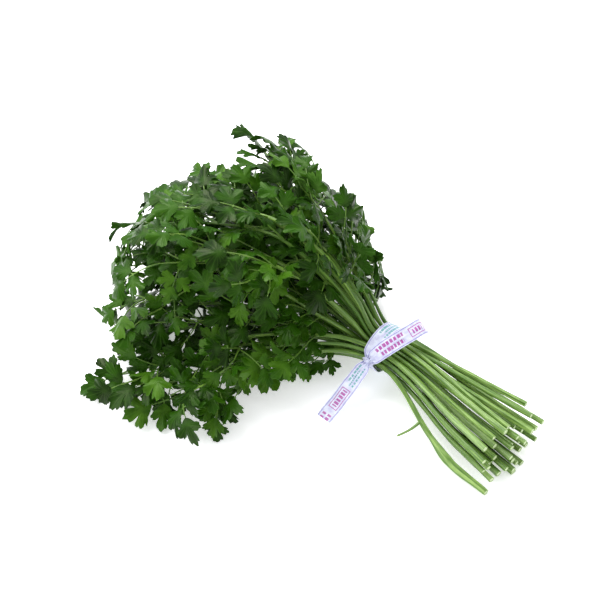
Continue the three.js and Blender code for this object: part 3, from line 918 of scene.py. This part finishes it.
AZIMUTH, ELEVATION = 37.0, 45.0
LENS, SENSOR = 85.0, 36.0
PICTURE = 600
TIE_PIXEL = (384, 347)  # where the tie's centre shows
PIXEL_AT_TIE = 0.75


def camera_place():
    """The camera's place in millimetres, and its back, right and up directions."""
    (ca, sa), (ce, se) = cos_sin(AZIMUTH), cos_sin(ELEVATION)
    back = np.array([sa * ce, -ca * ce, se])
    right = np.array([ca, sa, 0.0])
    up = np.cross(back, right)
    distance = PIXEL_AT_TIE * PICTURE * LENS / SENSOR
    aside = (TIE_PIXEL[0] - PICTURE / 2) * PIXEL_AT_TIE
    below = (TIE_PIXEL[1] - PICTURE / 2) * PIXEL_AT_TIE
    return TIE + back * distance - right * aside + up * below, back, right, up


def build_camera():
    place, back, right, up = camera_place()
    camera = link("camera", bpy.data.cameras.new("camera"))
    camera.data.lens, camera.data.sensor_width = LENS, SENSOR
    camera.rotation_mode = "QUATERNION"
    camera.rotation_quaternion = Matrix(np.c_[right, up, back].tolist()).to_quaternion()
    camera.location = (place * METRES).tolist()
    bpy.context.scene.camera = camera


# ---- The sprays that fill the fan ----


def tree_of(points, faces):
    """A search tree of a mesh, with the box round it."""
    tree = BVHTree.FromPolygons(points.tolist(), faces.tolist(), all_triangles=True)
    return SimpleNamespace(points=points, low=points.min(0), high=points.max(0), tree=tree)


def spray_tree(spray):
    points = np.vstack([sheet_points(spray, sheet, 0) for sheet in spray.sheets])
    faces = [SHEET_FACES + k * SHEET_COUNT for k in range(len(spray.sheets))]
    return tree_of(points, np.vstack(faces))


def stalk_tree(stem, radius):
    points = stem.curve[0][::2]
    rings = rings_round(points, np.full(len(points), radius), 3)
    return tree_of(rings.reshape(-1, 3), grid_faces(len(points), 3, True))


def crossings(tree, others, enough):
    """How many pairs of faces of a tree and the others cross, counted up to enough."""
    total = 0
    for other in others:
        if (tree.low < other.high).all() and (other.low < tree.high).all():
            total += len(tree.tree.overlap(other.tree))
            if total > enough:
                break
    return total


def outside(room, low, high, margin=0.0):
    """Whether the corners of a box lie outside the room, made smaller by a margin."""
    return (low < room.low + margin).any() or (high > room.high - margin).any()


def usual_start(stem):
    return float(np.interp(stem.angle, *zip(*LEAFY_FROM)))


def leafy_from(stem):
    start = usual_start(stem)
    return min(start, LOW_LEAFY_FROM) if stem.level < LOW_STEMS else start


def shoot_lengths(stem):
    if stem.angle > SKIRT_FROM:
        return SKIRT_LENGTHS
    if stem.level > CROWN_ABOVE and stem.angle < CROWN_BELOW:
        return CROWN_LENGTHS
    if stem.level > CROWN_ABOVE and stem.angle > SWEEP_FROM:
        return SWEEP_LENGTHS
    return SHOOT_LENGTHS


def make_shoot(stem, number, out, rng):
    """A thin side stalk that leaves a stem and arches up and outward to carry its own sprays."""
    start, tangent = stalk_at(stem, out)
    origin = start + smooth_offset(stem, out)
    raised = unit(UP - tangent * tangent[2])
    skirt = stem.angle > SKIRT_FROM
    tilt = rng.uniform(*(SKIRT_TILT if skirt else SHOOT_TILT))
    outward = turned(raised, tangent, math.radians(tilt))
    spread = math.radians(rng.uniform(*SHOOT_SPREAD))
    length = rng.uniform(*shoot_lengths(stem))
    aim = tangent * math.cos(spread) + outward * math.sin(spread)
    aim = unit(aim - UP * rng.uniform(0, SKIRT_SAG if skirt else SHOOT_SAG))
    t = np.linspace(0, 1, 6)[:, None]
    middle = origin + (tangent * 0.75 + outward * 0.25) * length * 0.42
    line = (1 - t) ** 2 * origin + 2 * t * (1 - t) * middle + t**2 * (origin + aim * length)
    bends = run_along(line)
    shoot = SimpleNamespace(index=1000 + 40 * stem.index + number, angle=stem.angle, level=1)
    shoot.line, shoot.bends, shoot.length = list(line), bends.tolist(), bends[-1]
    shoot.curve = smooth_line(line, 2.5)
    shoot.out = out
    shoot.sprays = []
    return shoot


def shoot_sites(stem, rng):
    """Distances along a stalk where side shoots may leave it."""
    skirt = stem.angle > SKIRT_FROM
    sweep = shoot_lengths(stem) == SWEEP_LENGTHS
    start = leafy_from(stem) * rng.uniform(*(SWEEP_STARTS if sweep else SHOOT_STARTS))
    end = 0.97 * stem.length
    if skirt:
        start, end = 0.2 * stem.length, 0.98 * stem.length
    sites = []
    while start < end and (skirt or stem.level > SHOOTS_ABOVE):
        sites.append(start)
        start += SHOOT_SPACING * rng.uniform(0.75, 1.35)
    return sites


def grow_shoot(stem, number, out, rng, room):
    """A side shoot with its sprays, on its first try that is clear of the rest."""
    others = [tree for other, tree in room.stalks if other is not stem]
    for _ in range(SHOOT_TRIES):
        shoot = make_shoot(stem, number, out, rng)
        tree = stalk_tree(shoot, SHOOT_RADIUS)
        middle = shoot.curve[0]
        if outside(room, middle.min(0), middle.max(0), SHOOT_CLEARANCE):
            continue
        if crossings(tree, others, 0) or crossings(tree, room.sprays, 0):
            continue
        for k, (at, side) in enumerate(SHOOT_SPRAYS):
            spray = grow_extra(shoot, k, at * shoot.length, side, rng, room)
            if spray:
                shoot.sprays.append(spray)
            elif not shoot.sprays:
                break
        if shoot.sprays:
            room.stalks.append((shoot, tree))
            return shoot
    return None


def strays(points):
    """Whether leaves lie outside the bunch's outline as the camera sees it."""
    camera = camera_place()[0]
    rays = points - camera
    out = TIE - (camera - rays * (camera[2] / rays[:, 2])[:, None])
    heading = np.degrees(np.arctan2(out[:, 1], out[:, 0]))
    distance = np.hypot(out[:, 0], out[:, 1])
    furthest = np.interp(heading, *zip(*OUTLINE), left=0)
    nearest = np.interp(heading, *zip(*INNER_EDGE))
    return np.mean((distance > furthest) | (distance < nearest)) > STRAYING


def extra_sites(stem, rng):
    """Distances and sides along a stalk where sprays may fill the fan."""
    start = leafy_from(stem) * rng.uniform(0.9, 1.2)
    taken = [(spray.out, spray.side) for spray in stem.sprays]
    sites = []
    out, side = stem.length - 5, 1
    while out > start:
        for chosen in (side, -side) if rng.random() < PAIRED else (side,):
            if all(abs(out - at) > 5 or chosen != theirs for at, theirs in taken):
                sites.append((out + rng.uniform(-2, 2), chosen))
        side = -side
        out -= EXTRA_SPACING * rng.uniform(0.8, 1.25)
    return sites


def extra_spray(stem, number, out, side, attempt, rng):
    """A laid try at one more spray on a stem. Some have a longer stalk or two leaflets."""
    keys = (stem.index, 100 + number, attempt)
    loose = min(1, 0.4 + attempt * 0.06)
    spray = spray_frame(stem, min(out, stem.length), side, loose, keys)
    spray.scale *= rng.uniform(*EXTRA_SCALE)
    spray.stretch = rng.choice(STRETCHES) * rng.uniform(0.6, 1)
    spray.lost = rng.choice(LOST_SIDES)
    lay_spray(spray, rng)
    return spray


def grow_extra(stem, number, out, side, rng, room):
    """One more spray on a stem, on its first try that is clear of the rest."""
    tucked = out < usual_start(stem) and stem.level < LOW_STEMS
    others = [tree for other, tree in room.stalks if other is not stem]
    for attempt in range(EXTRA_TRIES):
        spray = extra_spray(stem, number, out, side, attempt, rng)
        tree = spray_tree(spray)
        if outside(room, tree.low, tree.high) or sinks(spray) or strays(tree.points):
            continue
        if tucked and tree.high[2] > spray.origin[2] + LOW_LEAVES_RISE:
            continue
        on_floor = tree.low[2] < FLOOR_CLEARANCE + ON_FLOOR
        if on_floor and attempt < EXTRA_TRIES - FLOOR_TRIES:
            continue
        limit = 0 if attempt < EXTRA_TRIES // 2 else LATE_CROSSINGS
        if on_floor and out > PRESSED_FROM:
            limit = PRESSED_CROSSINGS
        if all(crossings(tree, near, limit) <= limit for near in (others, room.sprays)):
            room.sprays.append(tree)
            return spray
    return None


def fill_fan(stems):
    """Lays the CAD's sprays and adds more along every leafy stem. Returns how many lie there."""
    room = SimpleNamespace(sprays=[], stalks=[(s, stalk_tree(s, ROOM_RADIUS)) for s in stems])
    room.low = np.array(cad_box[0]) / METRES - np.array([ROOM_MARGIN, ROOM_MARGIN, 0])
    room.high = np.array(cad_box[1]) / METRES + ROOM_MARGIN
    for stem in stems:
        for number, spray in enumerate(stem.sprays):
            spray.side = (1, -1, 0)[number]
            lay_spray(spray, np.random.default_rng([stem.index, number]))
            room.sprays.append(spray_tree(spray))
    leafy = [stem for stem in stems if stem.leafy]
    for stem in leafy:
        rng = np.random.default_rng([stem.index, SHOOT_DRAWS])
        sites = enumerate(shoot_sites(stem, rng))
        grown = [grow_shoot(stem, number, out, rng, room) for number, out in sites]
        stem.shoots = [shoot for shoot in grown if shoot]
    for stem in leafy:
        rng = np.random.default_rng([stem.index, EXTRA_DRAWS])
        sites = enumerate(extra_sites(stem, rng))
        grown = [grow_extra(stem, number, *site, rng, room) for number, site in sites]
        stem.sprays += [spray for spray in grown if spray]
    return len(room.sprays)


# ---- Node materials ----


class Nodes:
    """A material's nodes. Each method adds one and returns its output."""

    def __init__(self, name):
        self.material = bpy.data.materials.new(name)
        self.material.use_nodes = True
        self.tree = self.material.node_tree
        self.shader = self.tree.nodes["Principled BSDF"]

    def add(self, kind, inputs=(), **settings):
        node = self.tree.nodes.new(kind)
        for key, value in settings.items():
            setattr(node, key, value)
        for key, value in dict(inputs).items():
            self.join(node.inputs[key], value)
        return node

    def join(self, socket, value):
        if isinstance(value, bpy.types.NodeSocket):
            self.tree.links.new(value, socket)
        else:
            socket.default_value = value

    def attribute(self, name, output):
        return self.add("ShaderNodeAttribute", attribute_name=name).outputs[output]

    def split(self, vector):
        return self.add("ShaderNodeSeparateXYZ", {"Vector": vector}).outputs

    def vector(self, x, y, z):
        return self.add("ShaderNodeCombineXYZ", {"X": x, "Y": y, "Z": z}).outputs[0]

    def math(self, operation, a, b=0.0, c=0.0):
        inputs = {0: a, 1: b, 2: c}
        return self.add("ShaderNodeMath", inputs, operation=operation).outputs[0]

    def times(self, a, b):
        return self.math("MULTIPLY", a, b)

    def minus(self, a, b):
        return self.math("SUBTRACT", a, b)

    def fused(self, a, b, c):
        """a times b, plus c."""
        return self.math("MULTIPLY_ADD", a, b, c)

    def ramp(self, value, low, high, start=0.0, end=1.0):
        """value from low to high mapped to start to end, smoothly, and held beyond."""
        inputs = {"Value": value, 1: low, 2: high, 3: start, 4: end}
        node = self.add("ShaderNodeMapRange", inputs, interpolation_type="SMOOTHSTEP")
        return node.outputs[0]

    def blend(self, share, a, b):
        inputs = {"Factor": share, "A": a, "B": b}
        node = self.tree.nodes.new("ShaderNodeMix")
        node.data_type = "RGBA"
        for socket in node.inputs:
            if socket.name in inputs and socket.enabled:
                self.join(socket, inputs[socket.name])
        return next(s for s in node.outputs if s.enabled)

    def noise(self, vector, scale, detail=3.0, roughness=0.55):
        inputs = {"Vector": vector, "Scale": scale, "Detail": detail, "Roughness": roughness}
        return self.add("ShaderNodeTexNoise", inputs).outputs[0]

    def object_at(self):
        return self.add("ShaderNodeTexCoord").outputs["Object"]

    def between(self, value, low, high):
        """1 where a value lies between two numbers, and 0 elsewhere."""
        over = self.math("GREATER_THAN", value, low)
        return self.times(over, self.math("LESS_THAN", value, high))

    def finish(self, colour, roughness, height=None, strength=0.3, distance=0.0005):
        self.join(self.shader.inputs["Base Color"], colour)
        self.join(self.shader.inputs["Roughness"], roughness)
        if height is not None:
            inputs = {"Height": height, "Strength": strength, "Distance": distance}
            bump = self.add("ShaderNodeBump", inputs)
            self.join(self.shader.inputs["Normal"], bump.outputs[0])
        return self.material


def srgb(red, green, blue):
    """A linear colour from 0 to 255 display values."""
    values = (np.array([red, green, blue]) / 255.0).tolist()
    linear = [c / 12.92 if c <= 0.04045 else ((c + 0.055) / 1.055) ** 2.4 for c in values]
    return (*linear, 1.0)


def vein_mask(nodes, x, y, length):
    """1 on the veins that run from a leaflet's palm to its teeth, and on its midrib."""
    away = nodes.minus(x, PALM)
    angle = nodes.math("ARCTAN2", y, away)
    reach = nodes.math("SQRT", nodes.fused(away, away, nodes.times(y, y)))
    tooth = math.radians(TOOTH)
    turns = nodes.math("ROUND", nodes.math("DIVIDE", angle, tooth))
    off = nodes.math("ABSOLUTE", nodes.minus(angle, nodes.times(turns, tooth)))
    gap = nodes.times(nodes.times(off, reach), length)
    midrib = nodes.times(nodes.math("ABSOLUTE", y), length)
    veins = nodes.ramp(gap, 0.08, 0.42, 1.0, 0.0)
    return nodes.math("MAXIMUM", veins, nodes.ramp(midrib, 0.15, 0.5, 1.0, 0.0))


def leaf_material(name, dark, middle, light, vein, vein_share, roughness):
    """Green leaf flesh: tone by leaflet, soft blotches, pale veins and puckers between."""
    nodes = Nodes(name)
    x, y, length = nodes.split(nodes.attribute("leaf_at", "Vector"))
    shade = nodes.attribute("shade", "Fac")
    place = nodes.object_at()
    blotch = nodes.noise(place, 95.0, 4.0)
    fine = nodes.noise(place, 900.0, 2.0)
    tone = nodes.fused(blotch, 0.9, nodes.fused(shade, 0.7, -0.3))
    colour = nodes.blend(nodes.ramp(tone, 0.05, 0.55), dark, middle)
    colour = nodes.blend(nodes.ramp(tone, 0.55, 1.0), colour, light)
    veins = vein_mask(nodes, x, y, length)
    colour = nodes.blend(nodes.times(veins, vein_share), colour, vein)
    scale = {"Vector": place, "Scale": 650.0}
    net = nodes.add("ShaderNodeTexVoronoi", scale, feature="DISTANCE_TO_EDGE")
    puckers = nodes.ramp(net.outputs["Distance"], 0.0, 0.35)
    height = nodes.fused(puckers, 0.5, nodes.times(fine, 0.25))
    height = nodes.minus(height, nodes.times(veins, 0.5))
    nodes.shader.inputs["Specular IOR Level"].default_value = 0.18
    nodes.shader.inputs["Specular Tint"].default_value = (0.82, 1.0, 0.55, 1.0)
    return nodes.finish(colour, nodes.fused(blotch, 0.22, roughness), height, 0.25, 0.0004)


def stalk_material():
    """Juicy stalk: pale and yellowish at the cut, greener in the fan, with long streaks."""
    nodes = Nodes("parsley_stalk")
    x, y, out = nodes.split(nodes.attribute("stalk_at", "Vector"))
    shade = nodes.attribute("shade", "Fac")
    round_at = nodes.vector(x, y, nodes.fused(out, 0.02, nodes.times(shade, 40.0)))
    streak = nodes.noise(round_at, 2.6, 4.0, 0.6)
    fibre = nodes.noise(round_at, 9.0, 2.0, 0.5)
    light = nodes.ramp(streak, 0.3, 0.72)
    foot = nodes.blend(light, srgb(50, 94, 2), srgb(158, 190, 102))
    pale = nodes.times(nodes.ramp(shade, 0.1, 0.55, 1.0, 0.0), 0.45)
    foot = nodes.blend(pale, foot, srgb(130, 160, 96))
    waist = nodes.blend(light, srgb(46, 84, 10), srgb(124, 162, 62))
    fan = nodes.blend(nodes.ramp(streak, 0.3, 0.75), srgb(46, 86, 8), srgb(136, 174, 70))
    colour = nodes.blend(nodes.ramp(out, -115.0, -10.0), foot, waist)
    colour = nodes.blend(nodes.ramp(out, 0.0, 95.0), colour, fan)
    tint = nodes.times(nodes.ramp(shade, 0.35, 1.0), 0.4)
    colour = nodes.blend(tint, colour, srgb(70, 112, 28))
    height = nodes.fused(fibre, 0.6, nodes.times(streak, 0.6))
    return nodes.finish(colour, nodes.fused(fibre, 0.2, 0.26), height, 0.4, 0.0006)


def cut_material():
    """The wet cut face of a stalk: a green skin round pale pith."""
    nodes = Nodes("parsley_cut")
    depth = nodes.split(nodes.attribute("stalk_at", "Vector"))[2]
    pores = nodes.noise(nodes.object_at(), 2200.0, 3.0)
    colour = nodes.blend(nodes.ramp(depth, 0.05, 0.4), srgb(126, 158, 82), srgb(206, 222, 176))
    colour = nodes.blend(nodes.times(pores, 0.35), colour, srgb(150, 172, 112))
    return nodes.finish(colour, 0.4, pores, 0.4, 0.0004)


def rectangle(nodes, s, across, start, end, low, high):
    return nodes.times(nodes.between(s, start, end), nodes.between(across, low, high))


def blocks(nodes, s, across, start, end, low, high, pitch, duty):
    """A row of plain blocks along a stretch of the tie."""
    step = nodes.math("DIVIDE", s, pitch)
    uneven = nodes.noise(nodes.vector(nodes.math("FLOOR", step), low, start), 3.7, 0.0)
    size = nodes.fused(uneven, 0.7, duty - 0.35)
    lit = nodes.math("LESS_THAN", nodes.math("FRACT", step), size)
    return nodes.times(rectangle(nodes, s, across, start, end, low, high), lit)


def box_outline(nodes, s, across, start, end, low, high, line):
    outside = rectangle(nodes, s, across, start, end, low, high)
    inner = (start + line, end - line, low + line, high - line)
    return nodes.minus(outside, rectangle(nodes, s, across, *inner))


def tie_material(low_end, band_length, high_length):
    """Coated paper with a border line and plain printed blocks, boxes and rows of dashes."""
    nodes = Nodes("tie_paper")
    s, across, face = nodes.split(nodes.attribute("print_at", "Vector"))
    place = nodes.object_at()
    crumple = nodes.noise(place, 260.0, 3.0, 0.5)
    fibre = nodes.noise(place, 1600.0, 2.0, 0.6)
    # Painted shade: the paper is darker in the dents of its crumples and lighter on their rises.
    colour = nodes.blend(nodes.ramp(crumple, 0.3, 0.7), srgb(196, 196, 226), srgb(224, 228, 246))
    inked = nodes.times(face, nodes.ramp(fibre, 0.2, 0.6, 0.55, 1.0))
    band = low_end + band_length
    tip = band + high_length
    # Each row: start and end along the ribbon, low and high across it, then pitch and duty.
    teal = (
        (31, low_end - 6, 1.6, 3.1, 2.6, 0.75),
        (31, low_end - 9, -0.8, 0.5, 1.6, 0.7),
        (34, low_end - 5, -3.6, -2.1, 2.9, 0.8),
        (low_end + 22, band - 8, 2.0, 3.8, 2.7, 0.75),
        (low_end + 26, band - 12, -0.6, 1.0, 1.8, 0.7),
        (low_end + 24, band - 9, -3.8, -2.0, 3.2, 0.8),
    )
    magenta = (
        (-1, 6.5, 0.8, 3.8, 3.3, 0.65),
        (-1, 6.0, -3.8, -0.8, 3.0, 0.6),
        (12.2, 26.4, -2.0, 2.0, 2.8, 0.66),
        (band + 17, band + 37, 0.7, 3.6, 2.8, 0.7),
        (band + 15, band + 38, -3.9, -1.0, 3.1, 0.7),
        (band + 45.5, tip - 5, -1.8, 1.8, 2.8, 0.6),
    )
    boxes = ((10, 28, -3.8, 3.8, 0.6), (band + 43, tip - 2, -3.6, 3.6, 0.6))
    border = [nodes.between(nodes.math("ABSOLUTE", across), 5.1, 5.7)]
    dashes = [blocks(nodes, s, across, *row) for row in teal]
    marks = [blocks(nodes, s, across, *row) for row in magenta]
    marks += [box_outline(nodes, s, across, *row) for row in boxes]
    inks = ((border, srgb(128, 122, 190), 0.9), (dashes, srgb(58, 156, 152), 0.9))
    for masks, ink, share in (*inks, (marks, srgb(168, 36, 148), 0.95)):
        printed = masks[0]
        for mask in masks[1:]:
            printed = nodes.math("MAXIMUM", printed, mask)
        colour = nodes.blend(nodes.times(nodes.times(printed, inked), share), colour, ink)
    height = nodes.fused(crumple, 1.0, nodes.times(fibre, 0.15))
    return nodes.finish(colour, 0.38, height, 0.35, 0.0012)


# ---- The tie ----


def band_stations():
    """Close stations round the band: points, faces and widths."""
    start = math.radians(KNOT_ANGLE + KNOT_GAP / 2)
    angle = start + math.radians(360 - KNOT_GAP) * np.linspace(0, 1, 73)
    flat, y, z = np.zeros(len(angle)), np.cos(angle), np.sin(angle)
    at = np.c_[flat, BAND_HALF_WIDTH * y, BAND_HALF_HEIGHT * z]
    face = np.c_[flat, y / BAND_HALF_WIDTH, z / BAND_HALF_HEIGHT]
    from_knot = np.degrees(np.minimum(angle - angle[0], angle[-1] - angle))
    wide = mix(0.5, 1.0, smoothstep(from_knot / 24))
    return at, unit(face), wide


def loose_end(rows):
    """Close stations along a loose end: points, faces and widths."""
    at, faces, widths = (np.array(part, float) for part in zip(*rows))
    points, numbers = smooth_line(at, 1.4)
    knots = np.arange(len(rows))
    face = columns_at(numbers, knots, unit(faces))
    wide = np.interp(numbers, knots, widths)
    wide = np.where(numbers < 1, mix(0.42, 0.9, smoothstep(numbers)), wide)
    return points, unit(face), wide


def rim_loop(rows, columns):
    """The rows and columns of a grid's outermost points, in order round it."""
    loop = [(r, 0) for r in range(rows)] + [(rows - 1, c) for c in range(1, columns)]
    loop += [(r, columns - 1) for r in range(rows - 2, -1, -1)]
    return np.array(loop + [(0, c) for c in range(columns - 2, 0, -1)]).T


def ribbon_sheets(at, face, wide, s, x, loose):
    """The ribbon's top and bottom points, with its pleats, its waves and its wire's ridge."""
    along = headings(at)
    normal = unit(face - along * np.sum(face * along, axis=1, keepdims=True))
    side = np.cross(along, normal)
    s, wide, loose = s[:, None], wide[:, None], loose[:, None]
    pleats = (1 - wide) * 1.5 * np.cos(x * 1.9)
    waves = 0.22 * np.sin(s * 0.33 + x * 0.25) + 0.12 * np.sin(s * 0.9 - x * 0.5)
    lift = 0.28 + pleats + waves * loose
    wire = WIRE_RIDGE * np.exp(-((x / 0.75) ** 2))
    middle = at[:, None] + (wide * x)[..., None] * side[:, None]
    heights = (lift + (PAPER_HALF + wire), lift - PAPER_HALF)
    return [middle + height[..., None] * normal[:, None] + TIE for height in heights]


def build_tie():
    """The tie as one ribbon: its low end, the band round the stalks and its high end."""
    low, band, high = loose_end(LOW_END), band_stations(), loose_end(HIGH_END)
    parts = [[a[::-1] for a in low], [a[::-1] for a in band], high]
    at, face, wide = (np.concatenate(rows) for rows in zip(*parts))
    s = run_along(at)
    first, last = np.cumsum([len(low[0]), len(band[0])]) - 1
    loose = np.ones(len(s))
    loose[first:last] = BAND_WAVES
    x = np.linspace(-1, 1, 21) * RIBBON_WIDTH / 2
    top, bottom = ribbon_sheets(at, face, wide, s, x, loose)

    gathered = Gathered()
    faces = grid_faces(len(s), len(x), False)
    place = np.empty(top.shape)
    place[..., 0], place[..., 1] = s[:, None], x
    for sheet, printed, order in ((top, 1.0, 1), (bottom, 0.0, -1)):
        place[..., 2] = printed
        print_at = place.reshape(-1, 3).copy()
        gathered.add(sheet.reshape(-1, 3), faces[:, ::order], 0, print_at=print_at)
    r, c = rim_loop(len(s), len(x))
    rim_place = np.c_[np.tile(s[r], 2), np.tile(x[c], 2), np.zeros(2 * len(r))]
    rim_faces = grid_faces(2, len(r), True)[:, ::-1]
    gathered.add(np.vstack([top[r, c], bottom[r, c]]), rim_faces, 0, print_at=rim_place)
    add_knot(gathered)
    paper = tie_material(s[first], s[last] - s[first], s[-1] - s[last])
    tie = gathered.make("paper_tie", [paper], 40)
    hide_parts("tie_ribbon")


def add_knot(gathered):
    """The twist's crumpled heart, where the two ends are wrung round each other."""
    rings, around = 15, 36
    lat = np.linspace(0.02, np.pi - 0.02, rings)[:, None]
    lon = np.linspace(0, 2 * np.pi, around, endpoint=False)[None]
    folds = 1 + 0.16 * np.sin(5 * lon + 3.2 * lat) + 0.07 * np.sin(11 * lon - 5 * lat)
    ball = np.broadcast_arrays(np.sin(lat) * np.cos(lon), np.sin(lat) * np.sin(lon), np.cos(lat))
    size = np.array(KNOT_SIZE) * KNOT_SHRUNK
    points = np.stack(ball, axis=-1) * folds[..., None] * size
    c, s = cos_sin(KNOT_ANGLE)
    heart = np.array([0, (BAND_HALF_WIDTH + KNOT_OUT) * c, (BAND_HALF_HEIGHT + KNOT_OUT) * s])
    points = points.reshape(-1, 3) + heart + TIE
    gathered.add(points, grid_faces(rings, around, True), 0, print_at=np.zeros(points.shape))


# ---- The bunch ----


def build_bunch():
    """Every stem's stalk piece and leaf piece."""
    stems = read_bunch()
    for stem in stems:
        stem.stalks = Gathered()
        build_stalk(stem.stalks, stem)
    outermost = min(stems, key=lambda stem: stem.foot[1][0][1])
    build_stray(outermost.stalks, outermost)
    count = fill_fan(stems)
    print(f"{len(stems)} stems, {count} sprays")

    greens = (srgb(9, 34, 0), srgb(34, 73, 2), srgb(66, 105, 20), srgb(88, 128, 50))
    top = leaf_material("parsley_leaf", *greens, 0.12, 0.2)
    greens = (srgb(26, 60, 6), srgb(50, 92, 20), srgb(88, 130, 48), srgb(106, 142, 74))
    under = leaf_material("parsley_underside", *greens, 0.22, 0.5)
    stalk, cut = stalk_material(), cut_material()
    for stem in stems:
        leaves = Gathered()
        for shoot in stem.shoots:
            build_shoot(stem.stalks, shoot)
            stem.sprays += shoot.sprays
        for number, spray in enumerate(stem.sprays):
            rng = np.random.default_rng([stem.index, number, LEAF_DRAWS])
            build_spray(leaves, stem.stalks, spray, rng)
        stalks = stem.stalks.make(f"{stem.node}.stalk", [stalk, cut], 50)
        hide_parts(stem.node)
        if leaves.count:
            piece = leaves.make(f"{stem.node}.leaves", [top, under], 50)
            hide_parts(stem.node)


# ---- The studio ----


FLOOR_HALF = 4.0
FLOOR_DROP = -0.0002  # keeps the floor just clear of the lowest leaves
LIT = Vector((0, 0, 0.03))  # where the lights look


def build_floor():
    """A pale floor with a faint glow, painted light that lifts its shadows and lights the bunch
    from below.
    """
    nodes = Nodes("pale_floor")
    grain = nodes.noise(nodes.object_at(), 30.0, 2.0)
    colour = nodes.blend(grain, (0.95, 0.945, 0.955, 1), (0.97, 0.965, 0.975, 1))
    # Painted light: the floor glows to lighten its shadows and to light the leaves from below.
    nodes.join(nodes.shader.inputs["Emission Color"], colour)
    nodes.shader.inputs["Emission Strength"].default_value = 0.45
    mesh = bpy.data.meshes.new("floor")
    corners = [(-1, -1), (1, -1), (1, 1), (-1, 1)]
    mesh.from_pydata([(x * FLOOR_HALF, y * FLOOR_HALF, 0) for x, y in corners], [], [range(4)])
    mesh.materials.append(nodes.finish(colour, 0.7))
    floor = link("floor", mesh)
    floor.location.z = FLOOR_DROP


def softbox(name, location, size, energy, colour):
    """A round soft light that looks at the bunch."""
    light = bpy.data.lights.new(name, "AREA")
    light.shape, light.size, light.energy, light.color = "DISK", size, energy, colour
    lamp = link(name, light)
    lamp.location = location
    lamp.rotation_euler = (LIT - Vector(location)).to_track_quat("-Z", "Y").to_euler()


def build_studio():
    """The floor, and soft light from above and from both sides of the leaves' end."""
    build_floor()
    world = bpy.data.worlds.new("studio")
    world.use_nodes = True
    background = world.node_tree.nodes["Background"]
    background.inputs["Color"].default_value = (0.97, 0.985, 1.0, 1)
    background.inputs["Strength"].default_value = 0.9
    bpy.context.scene.world = world
    bpy.context.scene.view_settings.view_transform = "Standard"
    softbox("key", (-0.6, 0.35, 1.2), 0.9, 18.0, (1.0, 0.99, 0.97))
    softbox("fill", (-0.9, -0.5, 0.9), 1.0, 9.0, (0.97, 0.985, 1.0))


build_bunch()
build_tie()
build_studio()
build_camera()
